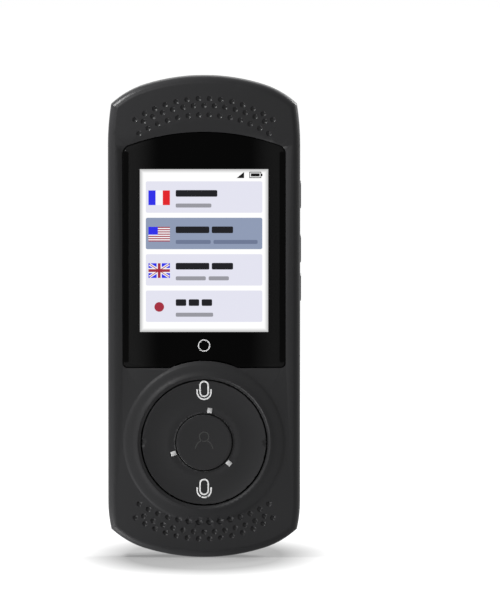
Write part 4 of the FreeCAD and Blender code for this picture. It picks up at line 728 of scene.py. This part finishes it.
class TRANSLATOR_OT_picture(bpy.types.Operator):
    """Builds the lit picture: a white field, four language cards with flags, and two status signs"""

    bl_idname = "translator.picture"
    bl_label = "Display picture"

    def execute(self, context):
        size = sizes()
        half = size.picture_width / 2
        field = lit_pixels("Backlit display, white", linear("#FFFFFF"),
                           (size.picture_width, size.picture_low, size.picture_high))
        layers = [GLASS_Y - step * FILM for step in range(1, 6)]
        finish_piece(tile("field", (-half, half), (size.picture_low, size.picture_high), layers[0]),
                     "picture_field", "case", field)
        plain = lit_pixels("Backlit display, pale card", tuple(colours().card))
        chosen = lit_pixels("Backlit display, chosen card", tuple(colours().chosen_card))
        middles = [size.first_card - index * size.card_pitch for index in range(4)]
        reach, rise = size.card_width / 2, size.card_height / 2
        for index, z in enumerate(middles):
            card = tile("card", (-reach, reach), (z - rise, z + rise), layers[1], corner=0.5 * MM)
            finish_piece(card, f"language_card_{index + 1}", "case", chosen if index == 1 else plain)
        self.flags(middles, layers)
        self.lines(middles, layers)
        self.signs(layers)
        return {"FINISHED"}

    def flags(self, middles, layers):
        """The four flags on the cards, in simple shapes of single colours."""
        x0, x1 = -15.9 * MM, -9.75 * MM
        tall = 4.2 * MM
        shapes = {"white": [], "blue": [], "red": [], "maroon": []}

        def put(colour, x, z, y):
            shapes[colour].append(tile(colour, x, z, y))

        spans = [(z - tall / 2 - 0.2 * MM, z + tall / 2 - 0.2 * MM) for z in middles]
        third = (x1 - x0) / 3
        for index, colour in enumerate(("blue", "white", "red")):
            put(colour, (x0 + index * third, x0 + (index + 1) * third), spans[0], layers[3])
        bottom, top = spans[1]
        put("white", (x0, x1), (bottom, top), layers[2])
        stripe = tall / 13
        for index in range(7):
            start = bottom + 2 * index * stripe
            put("maroon", (x0, x1), (start, start + stripe), layers[3])
        put("blue", (x0, x0 + 2.7 * MM), (top - 7 * stripe, top), layers[4])
        bottom, top = spans[2]
        put("blue", (x0, x1), (bottom, top), layers[2])
        cx, cz = (x0 + x1) / 2, (bottom + top) / 2
        inset = 0.3 * MM
        for low_end, high_end in ((bottom + inset, top - inset), (top - inset, bottom + inset)):
            ends = [(x0 + inset, low_end), (x1 - inset, high_end)]
            for colour, wide, y in (("white", 0.75 * MM, layers[2]),
                                    ("maroon", 0.22 * MM, layers[3] + 0.005 * MM)):
                shapes[colour].append(ribbon("diagonal", ends, wide, lambda x, z: y, steps=4))
        for colour, half, y in (("white", 0.72 * MM, layers[3] - 0.012 * MM), ("maroon", 0.4 * MM, layers[4])):
            put(colour, (cx - half, cx + half), (bottom, top), y)
            put(colour, (x0, x1), (cz - half, cz + half), y)
        clear_selection()
        bpy.ops.mesh.primitive_circle_add(vertices=48, radius=1.38 * MM, fill_type="NGON",
                                          location=(cx, layers[2], sum(spans[3]) / 2), rotation=(math.pi / 2, 0, 0))
        disc = bpy.context.object
        apply_modifier(disc, "SOLIDIFY", thickness=FILM, offset=-1.0)
        settle(disc)
        shapes["maroon"].append(disc)
        tints = {"white": "#F6F6FA", "blue": "#2A2AE8", "red": "#E11B22", "maroon": "#A32A3C"}
        for key, parts in shapes.items():
            ink = lit_pixels(f"Backlit display, {key}", linear(tints[key]))
            finish_piece(joined(parts, f"flag_{key}"), f"flags_{key}", "case", ink)

    def lines(self, middles, layers):
        """Two rows of rounded bars on each card."""
        start = -8.1 * MM
        titles = ((11.9,), (9.6, 6.1), (9.6, 6.1), (3.0, 3.0, 3.0))
        notes = ((10.2,), (10.0, 12.6), (8.6, 5.8), (10.7,))
        dark, pale, dim = [], [], []
        for index, z in enumerate(middles):
            rows = ((titles[index], z + 0.1 * MM, 1.9 * MM, 0.7 * MM, dark),
                    (notes[index], z - 3.0 * MM, 1.15 * MM, 0.8 * MM, dim if index == 1 else pale))
            for widths, base, tall, gap, shapes in rows:
                x = start
                for width in widths:
                    shapes.append(tile("bar", (x, x + width * MM), (base, base + tall), layers[2], corner=0.35 * MM))
                    x += width * MM + gap
        for parts, name, tint in ((dark, "title", "#15151B"), (pale, "note", "#97979F"),
                                  (dim, "chosen_note", "#6C7793")):
            ink = lit_pixels(f"Backlit display, {name} lines", linear(tint))
            finish_piece(joined(parts, name), f"card_{name}_lines", "case", ink)

    def signs(self, layers):
        """The battery sign and the signal sign at the top of the picture."""
        x0, x1, z0, z1 = 12.95 * MM, 16.35 * MM, 108.85 * MM, 110.65 * MM
        line = 0.22 * MM
        outline = [((x0, x1), (z0, z0 + line)), ((x0, x1), (z1 - line, z1)),
                   ((x0, x0 + line), (z0, z1)), ((x1 - line, x1), (z0, z1))]
        charge = ((x0 + 2 * line, x1 - 2 * line), (z0 + 2 * line, z1 - 2 * line))
        tip = ((x1, x1 + 0.35 * MM), (z0 + 0.55 * MM, z1 - 0.55 * MM))
        parts = [tile("battery", x, z, layers[1]) for x, z in (*outline, charge, tip)]
        clear_selection()
        bpy.ops.mesh.primitive_circle_add(vertices=3, radius=1.0 * MM, fill_type="NGON",
                                          location=(0, 0, 0), rotation=(math.pi / 2, 0, 0))
        triangle = bpy.context.object
        settle(triangle)
        corners = ((9.3, 108.85), (11.45, 108.85), (11.45, 110.6))
        for vertex, (x, z) in zip(triangle.data.vertices, corners):
            vertex.co = (x * MM, layers[1], z * MM)
        face_forwards(triangle)
        apply_modifier(triangle, "SOLIDIFY", thickness=FILM, offset=-1.0)
        parts.append(triangle)
        ink = lit_pixels("Backlit display, black sign", linear("#101010"))
        finish_piece(joined(parts, "signs"), "status_signs", "case", ink)


class TRANSLATOR_OT_marks(bpy.types.Operator):
    """Prints the ring under the picture, the two talk marks on the rocker and the sign on the key"""

    bl_idname = "translator.marks"
    bl_label = "Printed marks"

    def execute(self, context):
        ink = pad_printed_ink("Pad-printed pale ink", tuple(colours().ink))
        size = sizes()
        stroke = 0.28 * MM
        ring = ribbon("ring", arc(0, 60.9 * MM, size.home_ring - stroke / 2, 0, 360, 48)[:-1], stroke,
                      lambda x, z: GLASS_Y, closed=True, steps=64)
        finish_piece(ring, "home_ring", "case", ink)
        for name, z, split in (("upper_talk_mark", 47.9 * MM, False), ("lower_talk_mark", 19.75 * MM, True)):
            finish_piece(joined(self.microphone(z, size.mark_stroke, split), name), name, "talk_rocker", ink)
        sign = polished_abs("Polished black sign", linear("#0B0B0B"))
        parts = self.wearer(ROCKER.z + 0.3 * MM)
        finish_piece(joined(parts, "key_sign"), "key_sign", "middle_key", sign)
        return {"FINISHED"}

    def microphone(self, z, stroke, split):
        """A capsule with a cradle under it. The lower one's cradle is in three strokes."""
        half = 1.38 * MM - stroke / 2
        rise = 2.375 * MM - 1.38 * MM
        middle = z + 0.575 * MM
        capsule = arc(0, middle + rise, half, 0, 180, 12) + arc(0, middle - rise, half, 180, 360, 12)
        parts = [ribbon("capsule", capsule, stroke, rocker_surface, closed=True, steps=72)]
        reach = 2.2 * MM - stroke / 2
        foot = middle - rise
        spans = ((180, 240), (248, 292), (300, 360)) if split else ((180, 360),)
        for start, stop in spans:
            points = arc(0, foot, reach, start, stop, 16)
            if start == 180:
                points = [(-reach, foot + 0.9 * MM)] + points
            if stop == 360:
                points = points + [(reach, foot + 0.9 * MM)]
            parts.append(ribbon("cradle", points, stroke, rocker_surface, steps=32))
        return parts

    def wearer(self, z):
        """A round head over a pair of shoulders, in thin polished strokes."""
        stroke = 0.3 * MM
        head = ribbon("head", arc(0, z + 1.35 * MM, 1.35 * MM, 0, 360, 32)[:-1], stroke, key_surface, closed=True,
                      steps=40)
        shoulders = ribbon("shoulders", [(-2.6 * MM, z - 2.1 * MM)] + arc(0, z - 2.0 * MM, 2.35 * MM, 150, 100, 8),
                           stroke, key_surface, steps=16)
        other = ribbon("shoulders", arc(0, z - 2.0 * MM, 2.35 * MM, 80, 30, 8) + [(2.6 * MM, z - 2.1 * MM)],
                       stroke, key_surface, steps=16)
        return [head, shoulders, other]


class TRANSLATOR_OT_talk_control(bpy.types.Operator):
    """Finishes the rocker, the middle key and the light guides"""

    bl_idname = "translator.talk_control"
    bl_label = "Talk control"

    def execute(self, context):
        plastic = spark_textured_abs("Spark-textured ABS, rocker", shade(tuple(colours().shell), 0.92))
        moulding("talk_rocker", "rocker", "talk_rocker", plastic)
        self.middle_key(spark_textured_abs("Fine-textured ABS, key", shade(tuple(colours().shell), 0.8), sheen=0.5))
        moulding("indicator_lights", "light_guides", "talk_rocker", clear_acrylic("Moulded acrylic"),
                 edge=0.08 * MM)
        return {"FINISHED"}

    def middle_key(self, plastic):
        """Turns the key's dished cap, its skirt, flange and plunger."""
        bounds_high = high("middle_key")
        flange = bounds_high.x
        radius = flange - KEY_FLANGE_WIDTH
        profile = key_profile()[:0:-1]
        edge = [(KEY_TOP_Y + KEY_ROUNDING * (1 - math.cos(a)), radius - KEY_ROUNDING * (1 - math.sin(a)))
                for a in [math.pi / 2 * i / 4 for i in range(4, 0, -1)]]
        flange_top = KEY_TOP_Y + 1.95 * MM
        outside = [(bounds_high.y, 1.5 * MM), (flange_top + 0.6 * MM, 1.5 * MM), (flange_top + 0.6 * MM, flange),
                   (flange_top, flange), (flange_top, radius)]
        points = [(bounds_high.y, 0.05 * MM)] + outside + edge + profile
        points.append((points[-1][0], 0.0))
        key = turned(points)
        edit_all(key)
        bpy.ops.mesh.fill_holes(sides=0)
        bpy.ops.mesh.normals_make_consistent(inside=False)
        bpy.ops.object.mode_set(mode="OBJECT")
        smooth(key, 30)
        finish_piece(key, "middle_key_cap", "middle_key", plastic)
        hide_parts("middle_key")


class TRANSLATOR_OT_back_inlay(bpy.types.Operator):
    """Finishes the round inlay in the back and the bare plate let into it"""

    bl_idname = "translator.back_inlay"
    bl_label = "Back inlay"

    def execute(self, context):
        plastic = spark_textured_abs("Spark-textured ABS, inlay", shade(tuple(colours().shell), 0.96))
        moulding("rear_inlay", "back_inlay", "case", plastic, edge=sizes().groove_width)
        moulding("badge_plate", "plain_plate", "case", satin_aluminium("Anodised aluminium", tuple(colours().plate)),
                 edge=0.12 * MM)
        return {"FINISHED"}


class TRANSLATOR_OT_side_controls(bpy.types.Operator):
    """Finishes the side keys and the card tray"""

    bl_idname = "translator.side_controls"
    bl_label = "Side controls"

    def execute(self, context):
        plastic = polished_abs("Polished ABS, keys", shade(tuple(colours().shell), 0.9))
        for node in ("power_key", "volume_up_key", "volume_down_key"):
            moulding(node, f"{node}_cap", node, plastic)
        shell = spark_textured_abs("Spark-textured ABS, tray", tuple(colours().shell))
        moulding("card_tray", "card_tray_piece", "card_tray", shell, degrees=20)
        return {"FINISHED"}


class TRANSLATOR_OT_inner_parts(bpy.types.Operator):
    """Gives each inner part the finish of its real material"""

    bl_idname = "translator.inner_parts"
    bl_label = "Inner parts"

    def execute(self, context):
        finishes = {
            solder_mask("Green solder mask"): ("main_board", "display_flex", "upper_antenna", "lower_antenna",
                                               "socket_tongue", "battery_connector"),
            tinned_steel("Tinned steel"): ("retainer_screws", "board_screws", "talk_switches", "middle_key_switch",
                                           "power_switch", "volume_up_switch", "volume_down_switch", "upper_shield",
                                           "lower_shield", "microphones", "socket_shell", "card_reader",
                                           "backlight_tray"),
            soft_rubber("Silicone rubber and foam"): ("window_tape", "display_cushion", "microphone_boots",
                                                      "battery_tape", "upper_speaker_cone", "upper_speaker_gasket",
                                                      "lower_speaker_cone", "lower_speaker_gasket"),
            woven_cloth("Woven acoustic mesh"): ("upper_grille_cloth", "lower_grille_cloth"),
            aluminium_foil("Laminated cell foil"): ("battery",),
            spark_textured_abs("Moulded ABS, inside", linear("#1A1A1B")): ("rocker_retainer", "upper_speaker",
                                                                           "lower_speaker"),
            clear_acrylic("Diffusing acrylic"): ("light_sources",),
            black_backed_glass("Display glass"): ("touch_film", "display_panel"),
        }
        for material, nodes in finishes.items():
            for node in nodes:
                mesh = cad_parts[node].data
                if not mesh.materials:
                    mesh.materials.append(material)
                for index in range(len(mesh.materials)):
                    mesh.materials[index] = material
        return {"FINISHED"}


class TRANSLATOR_OT_stage(bpy.types.Operator):
    """Sets the pale floor, the lamps, the world and the camera"""

    bl_idname = "translator.stage"
    bl_label = "Stage"

    def execute(self, context):
        self.floor()
        self.world()
        middle = Vector((0.0, 0.0, 0.07))
        self.lamp("Upper left lamp", (-0.12, -0.044, 0.215), Vector((0.0, -0.007, 0.1)), 0.07, 0.6)
        self.lamp("Lower left lamp", (-0.12, -0.044, -0.075), Vector((0.0, -0.007, 0.02)), 0.07, 0.6)
        self.lamp("Crest lamp", (-0.245, -0.61, 0.314), middle, 0.08, 1.3)
        self.lamp("Back lamp", (0.55, 0.5, 0.45), middle, 0.3, 10.0)
        self.lamp("Right side lamp", (0.5, 0.1, 0.3), middle, 0.25, 2.0)
        self.camera()
        context.scene.view_settings.view_transform = "Standard"
        return {"FINISHED"}

    def floor(self):
        """A wide floor that keeps the object's shadow and shows white, but for a painted shadow under the object, where
        its glow is dimmed.
        It throws no shadow, so that the lamp below it reaches the object."""
        clear_selection()
        bpy.ops.mesh.primitive_plane_add(size=12.0, location=(0, 0, 0))
        floor = bpy.context.object
        floor.name = "pale_floor"
        material, tree, shader = new_material("Pale floor", {"Base Color": (0.15, 0.15, 0.15, 1.0), "Roughness": 0.9,
                                                             "Specular IOR Level": 0.0})
        glow = add_node(tree, "ShaderNodeEmission", {"Color": (1.0, 1.0, 1.0, 1.0)})
        place = add_node(tree, "ShaderNodeTexCoord")
        stretched = add_node(tree, "ShaderNodeMapping", {"Scale": (1.9, 1.0, 1.0)}, {"Vector": place.outputs["Object"]})
        reach = add_node(tree, "ShaderNodeVectorMath", {"operation": "LENGTH"}, {0: stretched.outputs["Vector"]})
        # Painted shadow: the floor's glow falls to about a quarter close to the object.
        painted_shadow_glow = add_node(tree, "ShaderNodeMapRange", {"From Min": 0.042, "From Max": 0.075, "To Min": 0.27,
                                                          "To Max": 1.0}, {"Value": reach.outputs["Value"]})
        strength = maths(tree, "MULTIPLY", shows_background(tree), painted_shadow_glow.outputs[0])
        tree.links.new(strength, glow.inputs["Strength"])
        total = add_node(tree, "ShaderNodeAddShader", None, {0: shader.outputs[0], 1: glow.outputs[0]})
        tree.links.new(total.outputs[0], tree.nodes["Material Output"].inputs["Surface"])
        floor.data.materials.append(material)
        floor.visible_shadow = False

    def world(self):
        """Even light from all round, and pure white where it is seen."""
        world = bpy.data.worlds.new("White studio")
        bpy.context.scene.world = world
        world.use_nodes = True
        tree = world.node_tree
        back = tree.nodes["Background"]
        back.inputs["Color"].default_value = (1.0, 1.0, 1.0, 1.0)
        span = add_node(tree, "ShaderNodeMapRange", {"To Min": 0.2, "To Max": 1.0},
                        {"Value": shows_background(tree)})
        tree.links.new(span.outputs[0], back.inputs["Strength"])

    def lamp(self, name, place, aim, size, power):
        """A round soft lamp, in metres and watts, that the camera doesn't see."""
        clear_selection()
        bpy.ops.object.light_add(type="AREA", location=place)
        lamp = bpy.context.object
        lamp.name = name
        lamp.data.shape = "DISK"
        lamp.data.size = size
        lamp.data.energy = power
        lamp.visible_camera = False
        lamp.rotation_euler = (Vector(aim) - Vector(place)).to_track_quat("-Z", "Y").to_euler()

    def camera(self):
        """A long lens, almost level. The case's middle stands at pixel (aim_x, aim_z), left of the picture's."""
        clear_selection()
        width, height = PICTURE_SIZE
        aim_x, aim_z = 204.2, 315.8
        middle = Vector(((width / 2 - aim_x) / PIXELS_PER_METRE, 0.0,
                         CASE_LENGTH / 2 + (aim_z - height / 2) / PIXELS_PER_METRE))
        distance, sensor = 2.4, 24.0
        tilt = math.radians(3.5)
        place = middle + Vector((0.0, -math.cos(tilt), math.sin(tilt))) * distance
        bpy.ops.object.camera_add(location=place)
        camera = bpy.context.object
        camera.name = "Front camera"
        camera.rotation_euler = (middle - place).to_track_quat("-Z", "Y").to_euler()
        camera.data.sensor_fit = "VERTICAL"
        camera.data.sensor_height = sensor
        camera.data.lens = sensor * distance / (height / PIXELS_PER_METRE)
        camera.data.clip_start = 0.05
        camera.data.clip_end = 30.0
        bpy.context.scene.camera = camera


OPERATORS = (TRANSLATOR_OT_shells, TRANSLATOR_OT_window, TRANSLATOR_OT_picture, TRANSLATOR_OT_talk_control,
             TRANSLATOR_OT_marks, TRANSLATOR_OT_back_inlay, TRANSLATOR_OT_side_controls, TRANSLATOR_OT_inner_parts,
             TRANSLATOR_OT_stage)


class TRANSLATOR_PT_panel(bpy.types.Panel):
    """Lists the translator's sizes, colours and steps"""

    bl_idname = "TRANSLATOR_PT_panel"
    bl_label = "Translator"
    bl_space_type = "VIEW_3D"
    bl_region_type = "UI"
    bl_category = "Translator"

    def draw(self, context):
        for group in (context.scene.translator_sizes, context.scene.translator_colours):
            box = self.layout.box()
            for key in group.__annotations__:
                box.prop(group, key)
        for operator in OPERATORS:
            self.layout.operator(operator.bl_idname)


CLASSES = (TranslatorSizes, TranslatorColours, *OPERATORS, TRANSLATOR_PT_panel)


def register():
    for item in CLASSES:
        bpy.utils.register_class(item)
    bpy.types.Scene.translator_sizes = bpy.props.PointerProperty(type=TranslatorSizes)
    bpy.types.Scene.translator_colours = bpy.props.PointerProperty(type=TranslatorColours)


def unregister():
    del bpy.types.Scene.translator_colours
    del bpy.types.Scene.translator_sizes
    for item in reversed(CLASSES):
        bpy.utils.unregister_class(item)


def main():
    register()
    clear_selection()
    bpy.ops.translator.shells()
    bpy.ops.translator.window()
    bpy.ops.translator.picture()
    bpy.ops.translator.talk_control()
    bpy.ops.translator.marks()
    bpy.ops.translator.back_inlay()
    bpy.ops.translator.side_controls()
    bpy.ops.translator.inner_parts()
    bpy.ops.translator.stage()


if __name__ == "__main__":
    main()
